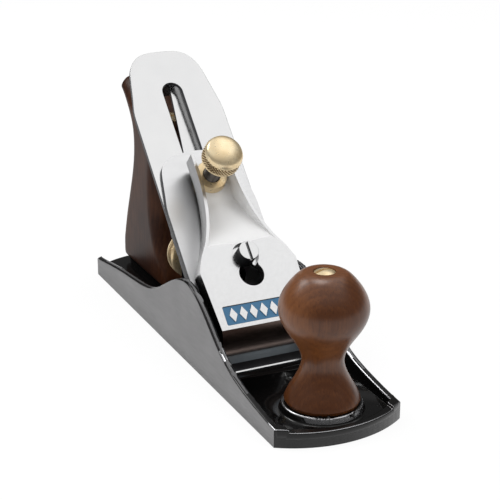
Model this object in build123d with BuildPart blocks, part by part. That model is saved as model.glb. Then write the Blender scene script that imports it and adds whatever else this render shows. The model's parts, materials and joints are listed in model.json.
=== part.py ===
"""Bench smoothing plane, built as separate pieces that fit together.

Millimetres.  X runs forward to the toe, Y to the left hand, Z up, and the sole stands on Z = 0.
The iron lies on a 45 degree bed.  On the bed, s is measured up the iron from its cutting edge
and h is measured off the front face of the iron, towards the user's knob.
"""

import os
from math import atan2, cos, degrees, hypot, radians, sin

from build123d import *

os.makedirs("parts", exist_ok=True)

# Sole casting
sole_length = 250.8
sole_width = 64.0
sole_floor = 4.0
cheek_wall = 3.5
toe_sag = 9.8
heel_sag = 12.0
cheek_top = 42.6
cheek_crest_x = 20.0
toe_rim = 8.9
toe_lip = 7.4
toe_corner_width = 6.0
heel_wall = 10.2
mouth_front = 2.8
mouth_rear = 6.2
mouth_side = 2.5
throat = 5.6
rib_from_edge = 17.0
rib_wide = 3.6
rib_rise = 2.6

# Bed, iron and cap iron
bed_angle = 45.0
edge_x = 42.8
edge_lift = 0.3
iron_width = 50.4
iron_thick = 2.2
iron_length = 187.0
iron_slot = 11.3
iron_slot_low = 40.0
iron_slot_top = 167.0
cap_thick = 2.2
cap_top = 123.5
iron_shoulder = 146.0
cap_shoulder = 88.0
cap_hump = 5.0
cap_hump_at = 12.0
cap_hump_end = 28.0
cap_screw_at = 84.0
cap_screw_radius = 3.8
cap_screw_head = 7.0
cap_screw_thick = 3.4

# Clearances
bed_gap = 0.05
run_gap = 0.05
drive_gap = 0.02
seat_gap = 0.05
lip_gap = 0.1
sunk = 0.5
frog_travel = 1.5

# Frog and its adjusters
frog_seat = 6.4
frog_base_top = 12.5
frog_plate = 8.25
frog_top = 112.0
frog_rear = -28.0
frog_front = 22.0
frog_inset = 3.2
frog_base_inset = 0.2
frog_pad_front = 31.0
frog_screw_x = -4.0
frog_screw_radius = 2.5
frog_screw_head = 4.4
frog_screw_edge = 5.5
rib_in = 11.5
rib_out = 14.0
adjust_radius = 2.5
adjust_collar = 3.4
adjust_neck = 1.9
adjust_z = 9.4
clip_screw_z = 17.5
clip_screw_radius = 2.0
clip_wide = 13.0
wheel_z = 30.0
wheel_radius = 13.5
wheel_front = -34.0
groove_from = 2.0
groove_wide = 3.6
wheel_disc = 9.0
wheel_hub = 8.0
wheel_hub_long = 10.0
stud_radius = 3.5
stud_collar = 4.8
yoke_at = 70.5
yoke_depth = 12.0
yoke_half = 10.6
yoke_prong = 2.6
yoke_pin_radius = 2.0
lever_pivot_at = 106.0
lever_pin_radius = 2.5
lever_roller_at = 101.0
lever_roller_radius = 5.35
roller_pin_radius = 1.5
lever_end_at = 168.0

# Lever cap and its thumb screw
cap_face = 20.0
cap_plate = 4.5
cap_side = 5.2
cap_wall_low = 11.3
cap_draw_in = 3.0
cap_foot_at = 8.4
cap_foot_half = 24.0
cap_wide_at = 48.0
cap_wide_half = 26.1
neck_at = 104.0
neck_half = 10.7
neck_wall = 1.7
scoop_from = 57.0
scoop_to = 93.0
keyhole_radius = 6.5
key_slot_half = 3.4
recess_radius = 6.9
recess_depth = 2.6
lever_screw_at = 53.1
lever_screw_radius = 3.0
lever_head_radius = 5.0
lever_head_tall = 8.4
keyhole_at = 43.0
thumb_at = 102.9
thumb_floor = 8.75
thumb_neck_end = 112.3
thumb_stud_radius = 4.5
bush_radius = 6.0
thumb_head_radius = 10.2

# Handles
knob_from_toe = 25.2
knob_radius = 20.4
knob_neck = 9.65
knob_foot = 17.4
knob_top = 71.9
boss_top = 9.4
boss_radius = 20.4
boss_draft = 20.0
boss_round = 1.2
platform_rise = 1.1
platform_reach = 29.0
tote_from_heel = 3.3
tote_base = 64.6
tote_height = 109.3
tote_seat = 7.0
tote_half = 13.0
tote_round = 3.6
nose_radius = 6.3
horn_radius = 6.0
bolt_radius = 3.0
bolt_slip = 0.1
nut_radius = 4.9
nut_slip = 0.2
nut_slot = 1.5
nut_side = 4.2
nut_dome = 1.5

c = cos(radians(bed_angle))
n = sin(radians(bed_angle))
half_length = sole_length / 2
half_width = sole_width / 2
inner_half = half_width - cheek_wall
toe_corner = half_length - toe_sag
heel_corner = -half_length + heel_sag
bed_h = -iron_thick - bed_gap
lip_h = cap_hump + lip_gap
iron_half = iron_width / 2
frog_half = iron_half - frog_inset
frog_base_half = iron_half - frog_base_inset
frog_screw_y = frog_base_half - frog_screw_edge
knob_x = half_length - knob_from_toe
tote_x = -half_length + tote_from_heel


def bed_point(s, h, y=0.0):
    """World point at s up the iron and h off its front face."""
    return (edge_x - s * c + h * n, y, s * n + h * c)


def bed_plane(h=0.0):
    """Plane parallel to the bed: local x is world Y, local y is s."""
    return Plane(origin=bed_point(0, h), x_dir=(0, 1, 0), z_dir=(n, 0, c))


def side_plane():
    """Plane of the bed seen from the side: local x is s, local y is h, normal is +Y."""
    return Plane(origin=bed_point(0, 0), x_dir=(-c, 0, n), z_dir=(0, 1, 0))


def across_plane(s):
    """Plane square to the iron at s: local x is world Y, local y is h, normal runs down the bed."""
    return Plane(origin=bed_point(s, 0), x_dir=(0, 1, 0), z_dir=(c, 0, -n))


def along_x(x, z):
    """Plane square to X: local x is world Y, local y is world Z, normal is +X."""
    return Plane(origin=(x, 0, z), x_dir=(0, 1, 0), z_dir=(1, 0, 0))


# Run of the cheeks either side of their crest: distance from it, and share of the rise to it
cheek_rear = (
    (-112.0, 0.099),
    (-89.0, 0.194),
    (-66.0, 0.269),
    (-50.0, 0.364),
    (-37.0, 0.534),
    (-24.3, 0.759),
    (-14.9, 0.901),
)
cheek_front = ((11.4, 0.899), (21.9, 0.706), (37.8, 0.383), (54.4, 0.175), (70.4, 0.080))


def cheek_points(run, low):
    """Points along the top of a cheek, from a low end up to its crest or down from it."""
    return [(cheek_crest_x + x, low + share * (cheek_top - low)) for x, share in run]


# Sole: a shallow trough with humped cheeks, open at the heel
with BuildPart() as sole:
    with BuildSketch(Plane.XY):
        with BuildLine():
            Line((heel_corner, -half_width), (toe_corner, -half_width))
            ThreePointArc((toe_corner, -half_width), (half_length, 0), (toe_corner, half_width))
            Line((toe_corner, half_width), (heel_corner, half_width))
            ThreePointArc((heel_corner, half_width), (-half_length, 0), (heel_corner, -half_width))
        make_face()
    extrude(amount=cheek_top + 5)
    with BuildSketch(Plane.XZ):
        with BuildLine():
            Line((-half_length - 5, -1), (-half_length - 5, heel_wall))
            Line((-half_length - 5, heel_wall), (heel_corner, heel_wall))
            Spline(
                (heel_corner, heel_wall),
                *cheek_points(cheek_rear, heel_wall),
                (cheek_crest_x, cheek_top),
                *cheek_points(cheek_front, toe_rim),
                (toe_corner, toe_rim),
                tangents=((1, 0.12), (1, -0.06)),
            )
            Line((toe_corner, toe_rim), (half_length + 5, toe_rim))
            Line((half_length + 5, toe_rim), (half_length + 5, -1))
            Line((half_length + 5, -1), (-half_length - 5, -1))
        make_face()
    extrude(amount=half_width + 5, both=True, mode=Mode.INTERSECT)
    with BuildSketch(Plane.XY.offset(sole_floor)):
        with BuildLine():
            Line((-half_length - 10, -inner_half), (toe_corner - cheek_wall, -inner_half))
            ThreePointArc(
                (toe_corner - cheek_wall, -inner_half),
                (half_length - cheek_wall, 0),
                (toe_corner - cheek_wall, inner_half),
            )
            Line((toe_corner - cheek_wall, inner_half), (-half_length - 10, inner_half))
            Line((-half_length - 10, inner_half), (-half_length - 10, -inner_half))
        make_face()
    extrude(amount=cheek_top + 10, mode=Mode.SUBTRACT)
    # Toe lip, lower than the ends of the cheeks
    with BuildSketch(Plane.XY.offset(toe_lip)):
        with Locations((half_length, 0)):
            Rectangle(4 * toe_sag, 2 * (half_width - toe_corner_width))
    extrude(amount=cheek_top, mode=Mode.SUBTRACT)
    # Cross rib ahead of the mouth
    with BuildSketch(Plane.XY.offset(sole_floor - sunk)):
        with Locations((edge_x + rib_from_edge, 0)):
            Rectangle(rib_wide, 2 * inner_half + 2 * sunk)
    extrude(amount=rib_rise + sunk)
    # Low platform and tapered round boss under the front knob
    platform_from = knob_x - platform_reach
    platform_to = toe_corner - cheek_wall - sunk
    platform_half = inner_half + sunk
    with BuildSketch(Plane.XY.offset(sole_floor - sunk)):
        with BuildLine():
            Line((platform_from, -platform_half), (platform_to, -platform_half))
            ThreePointArc(
                (platform_to, -platform_half),
                (half_length - cheek_wall + sunk, 0),
                (platform_to, platform_half),
            )
            Line((platform_to, platform_half), (platform_from, platform_half))
            Line((platform_from, platform_half), (platform_from, -platform_half))
        make_face()
    extrude(amount=platform_rise + sunk)
    with BuildSketch(Plane.XY.offset(sole_floor)):
        with Locations((knob_x, 0)):
            Circle(boss_radius)
    extrude(amount=boss_top - sole_floor, taper=boss_draft)
    round_edges = sole.edges().filter_by(GeomType.CIRCLE)
    boss_edges = round_edges.filter_by(lambda e: abs(e.arc_center.X - knob_x) < 0.01)
    fillet(boss_edges.group_by(Axis.Z)[-1], radius=boss_round)
    # Frog seat
    pad_rear = frog_rear + 5
    with BuildSketch(Plane.XY.offset(sole_floor - sunk)):
        with Locations(((pad_rear + frog_pad_front) / 2, 0)):
            Rectangle(frog_pad_front - pad_rear, 2 * frog_base_half - 4)
    extrude(amount=frog_seat - sole_floor + sunk)
    # Tote seat
    with BuildSketch(Plane.XY.offset(sole_floor - sunk)):
        with Locations((tote_x + tote_base / 2 + 1, 0)):
            SlotOverall(tote_base + 6, 2 * tote_half - 3)
    extrude(amount=tote_seat - sole_floor + sunk)
    # Boss for the frog adjusting screw
    with BuildSketch(Plane.XY.offset(sole_floor - sunk)):
        with Locations((frog_rear - 12.5, 0)):
            Rectangle(6, 13)
    extrude(amount=adjust_z + 4.5 - sole_floor + sunk)
    # Mouth, sloped behind to follow the bed
    with BuildSketch(Plane.XZ):
        with BuildLine():
            Polyline(
                (edge_x - mouth_rear + 1, -1),
                (edge_x + mouth_front, -1),
                (edge_x + mouth_front, sole_floor / 2),
                (edge_x + throat, sole_floor + 0.1),
                (edge_x + throat, frog_seat + 1),
                (edge_x - mouth_rear - frog_seat - 1, frog_seat + 1),
                close=True,
            )
        make_face()
    extrude(amount=iron_half + mouth_side, both=True, mode=Mode.SUBTRACT)
    # Threaded holes
    with BuildSketch(Plane.XY.offset(1.2)):
        with Locations((frog_screw_x, frog_screw_y), (frog_screw_x, -frog_screw_y)):
            Circle(frog_screw_radius + drive_gap)
    extrude(amount=20, mode=Mode.SUBTRACT)
    with BuildSketch(Plane.XY.offset(1.5)):
        with Locations((knob_x, 0)):
            Circle(bolt_radius + drive_gap)
    extrude(amount=20, mode=Mode.SUBTRACT)
    with BuildSketch(along_x(frog_rear - 22, adjust_z)):
        Circle(adjust_radius + run_gap)
    extrude(amount=20, mode=Mode.SUBTRACT)

# Tote bolt line, leaning forward to the brass nut
tote_foot = (tote_x + 0.450 * tote_base, 0, tote_seat)
tote_head = (tote_x + 0.720 * tote_base, 0, tote_seat + 0.838 * tote_height)
tote_run = hypot(tote_head[0] - tote_foot[0], tote_head[2] - tote_foot[2])
tote_axis = ((tote_head[0] - tote_foot[0]) / tote_run, 0, (tote_head[2] - tote_foot[2]) / tote_run)


def tote_plane(t):
    """Plane square to the tote bolt, t along it from the seat."""
    origin = (tote_foot[0] + tote_axis[0] * t, 0, tote_foot[2] + tote_axis[2] * t)
    return Plane(origin=origin, x_dir=(0, 1, 0), z_dir=tote_axis)


with BuildPart(mode=Mode.PRIVATE) as tote_drill:
    with BuildSketch(tote_plane(-5.0)):
        Circle(bolt_radius + drive_gap)
    extrude(amount=20)

sole.part = sole.part - tote_drill.part
sole.part.label = "sole"
export_step(sole.part, "parts/sole.step")

# Front knob, turned: share of the swell beyond the neck, and height over the foot or below the top
knob_crown = 6.4
knob_flare = ((0.845, 4.6), (0.535, 9.0), (0.174, 14.5))
knob_ball = (
    (0.135, 36.5),
    (0.433, 31.0),
    (0.823, 24.4),
    (1.0, 17.2),
    (0.823, 10.4),
    (0.465, 4.8),
    (0.105, 1.2),
)
with BuildPart() as front_knob:
    with BuildSketch(Plane(origin=(knob_x, 0, 0), x_dir=(1, 0, 0), z_dir=(0, -1, 0))):
        with BuildLine():
            Line((0, boss_top), (knob_foot - 0.8, boss_top))
            Line((knob_foot - 0.8, boss_top), (knob_foot, boss_top + 1.6))
            Spline(
                (knob_foot, boss_top + 1.6),
                *[(knob_neck + share * (knob_foot - knob_neck), boss_top + z) for share, z in knob_flare],
                (knob_neck, boss_top + 20.0),
                *[(knob_neck + share * (knob_radius - knob_neck), knob_top - z) for share, z in knob_ball],
                (knob_crown, knob_top),
            )
            Line((knob_crown, knob_top), (0, knob_top))
            Line((0, knob_top), (0, boss_top))
        make_face()
    revolve(axis=Axis((knob_x, 0, 0), (0, 0, 1)))
    with BuildSketch(Plane(origin=(knob_x, 0, boss_top - 1))):
        Circle(bolt_radius + bolt_slip)
    extrude(amount=knob_top, mode=Mode.SUBTRACT)
    with BuildSketch(Plane(origin=(knob_x, 0, knob_top - 5.0))):
        Circle(nut_radius + nut_slip)
    extrude(amount=20, mode=Mode.SUBTRACT)
front_knob.part.label = "front_knob"
export_step(front_knob.part, "parts/front_knob.step")

with BuildPart() as knob_bolt:
    with BuildSketch(Plane(origin=(knob_x, 0, 1.6))):
        Circle(bolt_radius)
    extrude(amount=knob_top - 1.6 - 2.2)
    chamfer(knob_bolt.edges().filter_by(GeomType.CIRCLE), length=0.4)
knob_bolt.part.label = "knob_bolt"
export_step(knob_bolt.part, "parts/knob_bolt.step")

with BuildPart() as knob_nut:
    with BuildSketch(Plane(origin=(knob_x, 0, knob_top - 4.9), x_dir=(1, 0, 0), z_dir=(0, -1, 0))):
        with BuildLine():
            Line((0, 0), (nut_radius, 0))
            Line((nut_radius, 0), (nut_radius, nut_side))
            ThreePointArc(
                (nut_radius, nut_side),
                (0.55 * nut_radius, nut_side + 0.71 * nut_dome),
                (0, nut_side + nut_dome),
            )
            Line((0, nut_side + nut_dome), (0, 0))
        make_face()
    revolve(axis=Axis((knob_x, 0, 0), (0, 0, 1)))
    with BuildSketch(Plane(origin=(knob_x, 0, knob_top - 6))):
        Circle(bolt_radius + drive_gap)
    extrude(amount=4.2, mode=Mode.SUBTRACT)
    with BuildSketch(Plane(origin=(knob_x, 0, knob_top - 0.6))):
        Rectangle(nut_slot, 3 * nut_radius)
    extrude(amount=4, mode=Mode.SUBTRACT)
knob_nut.part.label = "knob_nut"
export_step(knob_nut.part, "parts/knob_nut.step")

# Tote: side shape with a rounded grip
tote_side = Plane(origin=(tote_x, 0, tote_seat), x_dir=(1, 0, 0), z_dir=(0, -1, 0))


def tote_point(along, rise):
    """Point of the tote's side view, as shares of its base and its height."""
    return (along * tote_base, rise * tote_height)


nose_at = tote_point(0.8029, 0.7720)
horn_at = tote_point(0.0879, 0.9309)


def on_circle(centre, radius, angle):
    """Point of a circle in the side view at an angle in degrees."""
    return (centre[0] + radius * cos(radians(angle)), centre[1] + radius * sin(radians(angle)))


def going(angle):
    """Direction of travel round a circle at an angle in degrees."""
    return (-sin(radians(angle)), cos(radians(angle)))


with BuildPart() as tote:
    with BuildSketch(tote_side):
        with BuildLine():
            Spline(
                tote_point(1, 0),
                tote_point(0.9539, 0.0730),
                tote_point(0.8606, 0.1650),
                tote_point(0.7914, 0.2840),
                tote_point(0.7664, 0.4120),
                tote_point(0.7789, 0.5400),
                tote_point(0.8279, 0.6590),
                on_circle(nose_at, nose_radius, -25),
                tangents=((-0.2, 1), going(-25)),
            )
            ThreePointArc(
                on_circle(nose_at, nose_radius, -25),
                on_circle(nose_at, nose_radius, 40),
                on_circle(nose_at, nose_radius, 98),
            )
            Spline(
                on_circle(nose_at, nose_radius, 98),
                tote_point(0.6520, 0.8440),
                tote_point(0.4501, 0.8800),
                tote_point(0.2608, 0.9433),
                on_circle(horn_at, horn_radius, 72),
                tangents=(going(98), going(72)),
            )
            ThreePointArc(
                on_circle(horn_at, horn_radius, 72),
                on_circle(horn_at, horn_radius, 150),
                on_circle(horn_at, horn_radius, 240),
            )
            Spline(
                on_circle(horn_at, horn_radius, 240),
                tote_point(0.1592, 0.8184),
                tote_point(0.2473, 0.7410),
                tote_point(0.2628, 0.6500),
                tote_point(0.2240, 0.5400),
                tote_point(0.1413, 0.4120),
                tote_point(0.0603, 0.2740),
                tote_point(0.0107, 0.1370),
                tote_point(0, 0),
                tangents=(going(240), (0, -1)),
            )
            Line(tote_point(0, 0), tote_point(1, 0))
        make_face()
    extrude(amount=tote_half, both=True)
    tote_sides = tote.faces().filter_by(Axis.Y)
    tote_rims = tote_sides.edges().filter_by(lambda e: e.center().Z > tote_seat + 1)
    fillet(tote_rims, radius=tote_round)
    with BuildSketch(tote_plane(-5.0)):
        Circle(bolt_radius + bolt_slip)
    extrude(amount=tote_run + 20, mode=Mode.SUBTRACT)
    with BuildSketch(tote_plane(tote_run - 5.0)):
        Circle(nut_radius + nut_slip)
    extrude(amount=20, mode=Mode.SUBTRACT)
tote.part.label = "tote"
export_step(tote.part, "parts/tote.step")

with BuildPart() as tote_bolt:
    with BuildSketch(tote_plane(-4.8)):
        Circle(bolt_radius)
    extrude(amount=tote_run + 4.8 - 1.6)
tote_bolt.part.label = "tote_bolt"
export_step(tote_bolt.part, "parts/tote_bolt.step")

with BuildPart() as tote_nut:
    with BuildSketch(tote_plane(tote_run - 4.9)):
        Circle(nut_radius)
    extrude(amount=6.4)
    fillet(tote_nut.edges().sort_by(Axis(tote_foot, tote_axis))[-1], radius=1.2)
    with BuildSketch(tote_plane(tote_run - 6)):
        Circle(bolt_radius + drive_gap)
    extrude(amount=4.6, mode=Mode.SUBTRACT)
    with BuildSketch(tote_plane(tote_run + 0.3)):
        Rectangle(3 * nut_radius, nut_slot)
    extrude(amount=4, mode=Mode.SUBTRACT)
tote_nut.part.label = "tote_nut"
export_step(tote_nut.part, "parts/tote_nut.step")

# Frog: bed plate, two ribs, base, boss for the depth screw, rear wall for the clip
pivot = bed_point(yoke_at, -yoke_depth)
with BuildPart() as frog:
    with BuildSketch(bed_plane(bed_h)):
        with BuildLine():
            Polyline(
                (-frog_half, 8),
                (frog_half, 8),
                (frog_half, frog_top - 28),
                (frog_half - 7.5, frog_top),
                (-frog_half + 7.5, frog_top),
                (-frog_half, frog_top - 28),
                close=True,
            )
        make_face()
    extrude(amount=-frog_plate)
    for side in (-1, 1):
        with BuildSketch(Plane.XZ.offset(-side * (rib_in + rib_out) / 2)):
            with BuildLine():
                Polyline(
                    (frog_rear, 5),
                    (frog_front, 5),
                    bed_point(36, -6)[::2],
                    bed_point(98, -6)[::2],
                    bed_point(98, -12)[::2],
                    (frog_rear - 4.5, 50),
                    (frog_rear, 16),
                    close=True,
                )
            make_face()
        extrude(amount=(rib_out - rib_in) / 2, both=True)
    with BuildSketch(Plane.XY.offset(5)):
        with Locations(((frog_rear + frog_front) / 2, 0)):
            RectangleRounded(frog_front - frog_rear, 2 * frog_base_half, 3)
    extrude(amount=frog_base_top - 5)
    with BuildSketch(along_x(frog_rear - 2, wheel_z)):
        Circle(6)
    extrude(amount=2 - frog_rear + 2)
    with BuildSketch(Plane.XY.offset(5)):
        with Locations((frog_rear + 4, 0)):
            Rectangle(8, 18)
    extrude(amount=18)
    # Everything below the seat or ahead of the bed comes off
    with BuildSketch(Plane.XZ):
        with BuildLine():
            Polyline(
                (-half_length, frog_seat + seat_gap),
                (half_length, frog_seat + seat_gap),
                (half_length, -cheek_top),
                (-half_length, -cheek_top),
                close=True,
            )
        make_face()
    extrude(amount=sole_width, both=True, mode=Mode.SUBTRACT)
    with BuildSketch(bed_plane(bed_h)):
        with Locations((0, frog_top / 2)):
            Rectangle(3 * iron_width, 2 * frog_top)
    extrude(amount=frog_top / 2, mode=Mode.SUBTRACT)
    # Window for the yoke and channel for the cap-iron screw and lateral lever
    with BuildSketch(bed_plane(bed_h + 1)):
        with Locations((0, yoke_at)):
            Rectangle(2 * (rib_in - 0.2), 14)
    extrude(amount=-16, mode=Mode.SUBTRACT)
    with BuildSketch(bed_plane(bed_h + 1)):
        with Locations((0, (yoke_at + 6 + frog_top + 5) / 2)):
            Rectangle(18.4, frog_top + 5 - yoke_at - 6)
    extrude(amount=-(1 + 4.75), mode=Mode.SUBTRACT)
    # Screw holes and slots
    with BuildSketch(Plane.XY.offset(3)):
        with Locations((frog_screw_x, frog_screw_y), (frog_screw_x, -frog_screw_y)):
            SlotCenterToCenter(2 * frog_travel + 0.6, 2 * frog_screw_radius + 0.6)
    extrude(amount=frog_base_top, mode=Mode.SUBTRACT)
    with BuildSketch(bed_plane(-13)):
        with Locations((0, lever_screw_at)):
            Circle(lever_screw_radius + drive_gap)
    extrude(amount=20, mode=Mode.SUBTRACT)
    with BuildSketch(bed_plane(-9.8)):
        with Locations((0, lever_pivot_at)):
            Circle(lever_pin_radius + drive_gap)
    extrude(amount=20, mode=Mode.SUBTRACT)
    with BuildSketch(Plane(origin=(pivot[0], 30, pivot[2]), x_dir=(1, 0, 0), z_dir=(0, -1, 0))):
        Circle(yoke_pin_radius + drive_gap)
    extrude(amount=60, mode=Mode.SUBTRACT)
    with BuildSketch(along_x(frog_rear - 4, wheel_z)):
        Circle(stud_radius + run_gap)
    extrude(amount=frog_rear * -1 + 4 - 10, mode=Mode.SUBTRACT)
    with BuildSketch(along_x(frog_rear - 1, adjust_z)):
        Circle(adjust_collar + 0.5)
    extrude(amount=1 + 3.2, mode=Mode.SUBTRACT)
    with BuildSketch(along_x(frog_rear - 1, clip_screw_z)):
        Circle(clip_screw_radius + drive_gap)
    extrude(amount=1 + 7, mode=Mode.SUBTRACT)
frog.part.label = "frog"
export_step(frog.part, "parts/frog.step")

with BuildPart() as frog_washers:
    with BuildSketch(Plane.XY.offset(frog_base_top + seat_gap)):
        with Locations((frog_screw_x, frog_screw_y), (frog_screw_x, -frog_screw_y)):
            Circle(frog_screw_head + 0.6)
            Circle(frog_screw_radius + 0.2, mode=Mode.SUBTRACT)
    extrude(amount=1.4)
frog_washers.part.label = "frog_washers"
export_step(frog_washers.part, "parts/frog_washers.step")

screw_seat = frog_base_top + seat_gap + 1.4
with BuildPart() as frog_screws:
    with BuildSketch(Plane.XY.offset(1.3)):
        with Locations((frog_screw_x, frog_screw_y), (frog_screw_x, -frog_screw_y)):
            Circle(frog_screw_radius)
    extrude(amount=screw_seat - 1.3)
    with BuildSketch(Plane.XY.offset(screw_seat)):
        with Locations((frog_screw_x, frog_screw_y), (frog_screw_x, -frog_screw_y)):
            Circle(frog_screw_head)
    extrude(amount=3.6)
    fillet(frog_screws.edges().group_by(Axis.Z)[-1], radius=1.2)
    with BuildSketch(Plane.XY.offset(screw_seat + 2.2)):
        with Locations((frog_screw_x, frog_screw_y), (frog_screw_x, -frog_screw_y)):
            Rectangle(1.2, 3 * frog_screw_head)
    extrude(amount=4, mode=Mode.SUBTRACT)
frog_screws.part.label = "frog_screws"
export_step(frog_screws.part, "parts/frog_screws.step")

# Frog adjusting screw, with a necked collar held by a forked clip
clip_thick = 2.0
adjust_rear = frog_rear - 24.0
with BuildPart() as frog_adjust_screw:
    with BuildSketch(along_x(adjust_rear, adjust_z)):
        Circle(adjust_radius)
    extrude(amount=frog_rear - 4.4 - adjust_rear)
    with BuildSketch(along_x(frog_rear - 4.4, adjust_z)):
        Circle(adjust_collar)
    extrude(amount=1.8)
    with BuildSketch(along_x(frog_rear - 2.6, adjust_z)):
        Circle(adjust_neck)
    extrude(amount=3.0)
    with BuildSketch(along_x(frog_rear + 0.4, adjust_z)):
        Circle(adjust_collar)
    extrude(amount=1.8)
    with BuildSketch(along_x(adjust_rear - 1, adjust_z)):
        Rectangle(1.0, 3 * adjust_radius)
    extrude(amount=2.6, mode=Mode.SUBTRACT)
frog_adjust_screw.part.label = "frog_adjust_screw"
export_step(frog_adjust_screw.part, "parts/frog_adjust_screw.step")

with BuildPart() as frog_clip:
    with BuildSketch(along_x(frog_rear - clip_thick - 0.05, 0)):
        with Locations((0, 14.2)):
            RectangleRounded(clip_wide, clip_wide + 1.6, 2)
        with Locations((0, adjust_z)):
            Circle(adjust_neck + 0.3, mode=Mode.SUBTRACT)
        with Locations((0, adjust_z - 3)):
            Rectangle(2 * adjust_neck + 0.6, 6, mode=Mode.SUBTRACT)
        with Locations((0, clip_screw_z)):
            Circle(clip_screw_radius + 0.2, mode=Mode.SUBTRACT)
    extrude(amount=clip_thick)
frog_clip.part.label = "frog_clip"
export_step(frog_clip.part, "parts/frog_clip.step")

with BuildPart() as frog_clip_screw:
    with BuildSketch(along_x(frog_rear - clip_thick - 0.05, clip_screw_z)):
        Circle(clip_screw_radius)
    extrude(amount=clip_thick + 0.05 + 6.6)
    with BuildSketch(along_x(frog_rear - clip_thick - 0.05, clip_screw_z)):
        Circle(clip_screw_radius + 1.5)
    extrude(amount=-2.2)
    with BuildSketch(along_x(frog_rear - clip_thick - 2.4, clip_screw_z)):
        Rectangle(1.0, 9)
    extrude(amount=1.2, mode=Mode.SUBTRACT)
frog_clip_screw.part.label = "frog_clip_screw"
export_step(frog_clip_screw.part, "parts/frog_clip_screw.step")

# Depth screw and its knurled brass wheel
groove_x = wheel_front - groove_from - groove_wide / 2
disc_front = wheel_front - wheel_hub_long
wheel_back = disc_front - wheel_disc
with BuildPart() as depth_screw:
    with BuildSketch(along_x(wheel_back - 2.0, wheel_z)):
        Circle(stud_radius)
    extrude(amount=-(wheel_back - 2.0) - 12.5)
    with BuildSketch(along_x(wheel_front + run_gap, wheel_z)):
        Circle(stud_collar)
    extrude(amount=1.5)
    with BuildSketch(along_x(wheel_back - 2.0, wheel_z)):
        Circle(stud_collar)
    extrude(amount=2.0 - run_gap)
depth_screw.part.label = "depth_screw"
export_step(depth_screw.part, "parts/depth_screw.step")

with BuildPart() as depth_wheel:
    with BuildSketch(along_x(wheel_back, wheel_z)):
        Circle(wheel_radius)
    extrude(amount=wheel_disc)
    chamfer(depth_wheel.edges().filter_by(GeomType.CIRCLE), length=1.0)
    with BuildSketch(along_x(disc_front, wheel_z)):
        Circle(wheel_hub)
    extrude(amount=wheel_hub_long - groove_from - groove_wide)
    with BuildSketch(along_x(wheel_front - groove_from - groove_wide, wheel_z)):
        Circle(5.2)
    extrude(amount=groove_wide)
    with BuildSketch(along_x(wheel_front - groove_from, wheel_z)):
        Circle(wheel_hub)
    extrude(amount=groove_from)
    with BuildSketch(along_x(wheel_back - 1, wheel_z)):
        Circle(stud_radius + run_gap)
    extrude(amount=40, mode=Mode.SUBTRACT)
depth_wheel.part.label = "depth_wheel"
export_step(depth_wheel.part, "parts/depth_wheel.step")

# Yoke: finger up into the cap iron, two prongs down into the wheel groove
fork_run = hypot(groove_x - pivot[0], wheel_z - pivot[2])
fork_turn = degrees(atan2(wheel_z - pivot[2], groove_x - pivot[0]))
with BuildPart() as yoke:
    with BuildSketch(Plane(origin=(pivot[0], yoke_half, pivot[2]), x_dir=(1, 0, 0), z_dir=(0, -1, 0))):
        Circle(4.2)
    extrude(amount=2 * yoke_half)
    for start in (yoke_half, yoke_prong - yoke_half):
        with BuildSketch(Plane(origin=(0, start, 0), x_dir=(1, 0, 0), z_dir=(0, -1, 0))):
            with Locations(((pivot[0] + groove_x) / 2, (pivot[2] + wheel_z) / 2)):
                SlotCenterToCenter(fork_run, 5.6, rotation=fork_turn)
        extrude(amount=yoke_prong)
    for start in (8.5, -5.6):
        with BuildSketch(Plane(origin=(groove_x, start, wheel_z), x_dir=(1, 0, 0), z_dir=(0, -1, 0))):
            Circle(1.5)
        extrude(amount=2.9)
    with BuildSketch(side_plane()):
        with Locations((yoke_at, (1.5 - yoke_depth) / 2)):
            Rectangle(3.0, 1.5 + yoke_depth)
    extrude(amount=3.5, both=True)
    with BuildSketch(Plane(origin=(pivot[0], 30, pivot[2]), x_dir=(1, 0, 0), z_dir=(0, -1, 0))):
        Circle(yoke_pin_radius + run_gap)
    extrude(amount=60, mode=Mode.SUBTRACT)
yoke.part.label = "yoke"
export_step(yoke.part, "parts/yoke.step")

with BuildPart() as yoke_pin:
    with BuildSketch(Plane(origin=(pivot[0], rib_out, pivot[2]), x_dir=(1, 0, 0), z_dir=(0, -1, 0))):
        Circle(yoke_pin_radius)
    extrude(amount=2 * rib_out)
yoke_pin.part.label = "yoke_pin"
export_step(yoke_pin.part, "parts/yoke_pin.step")

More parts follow.
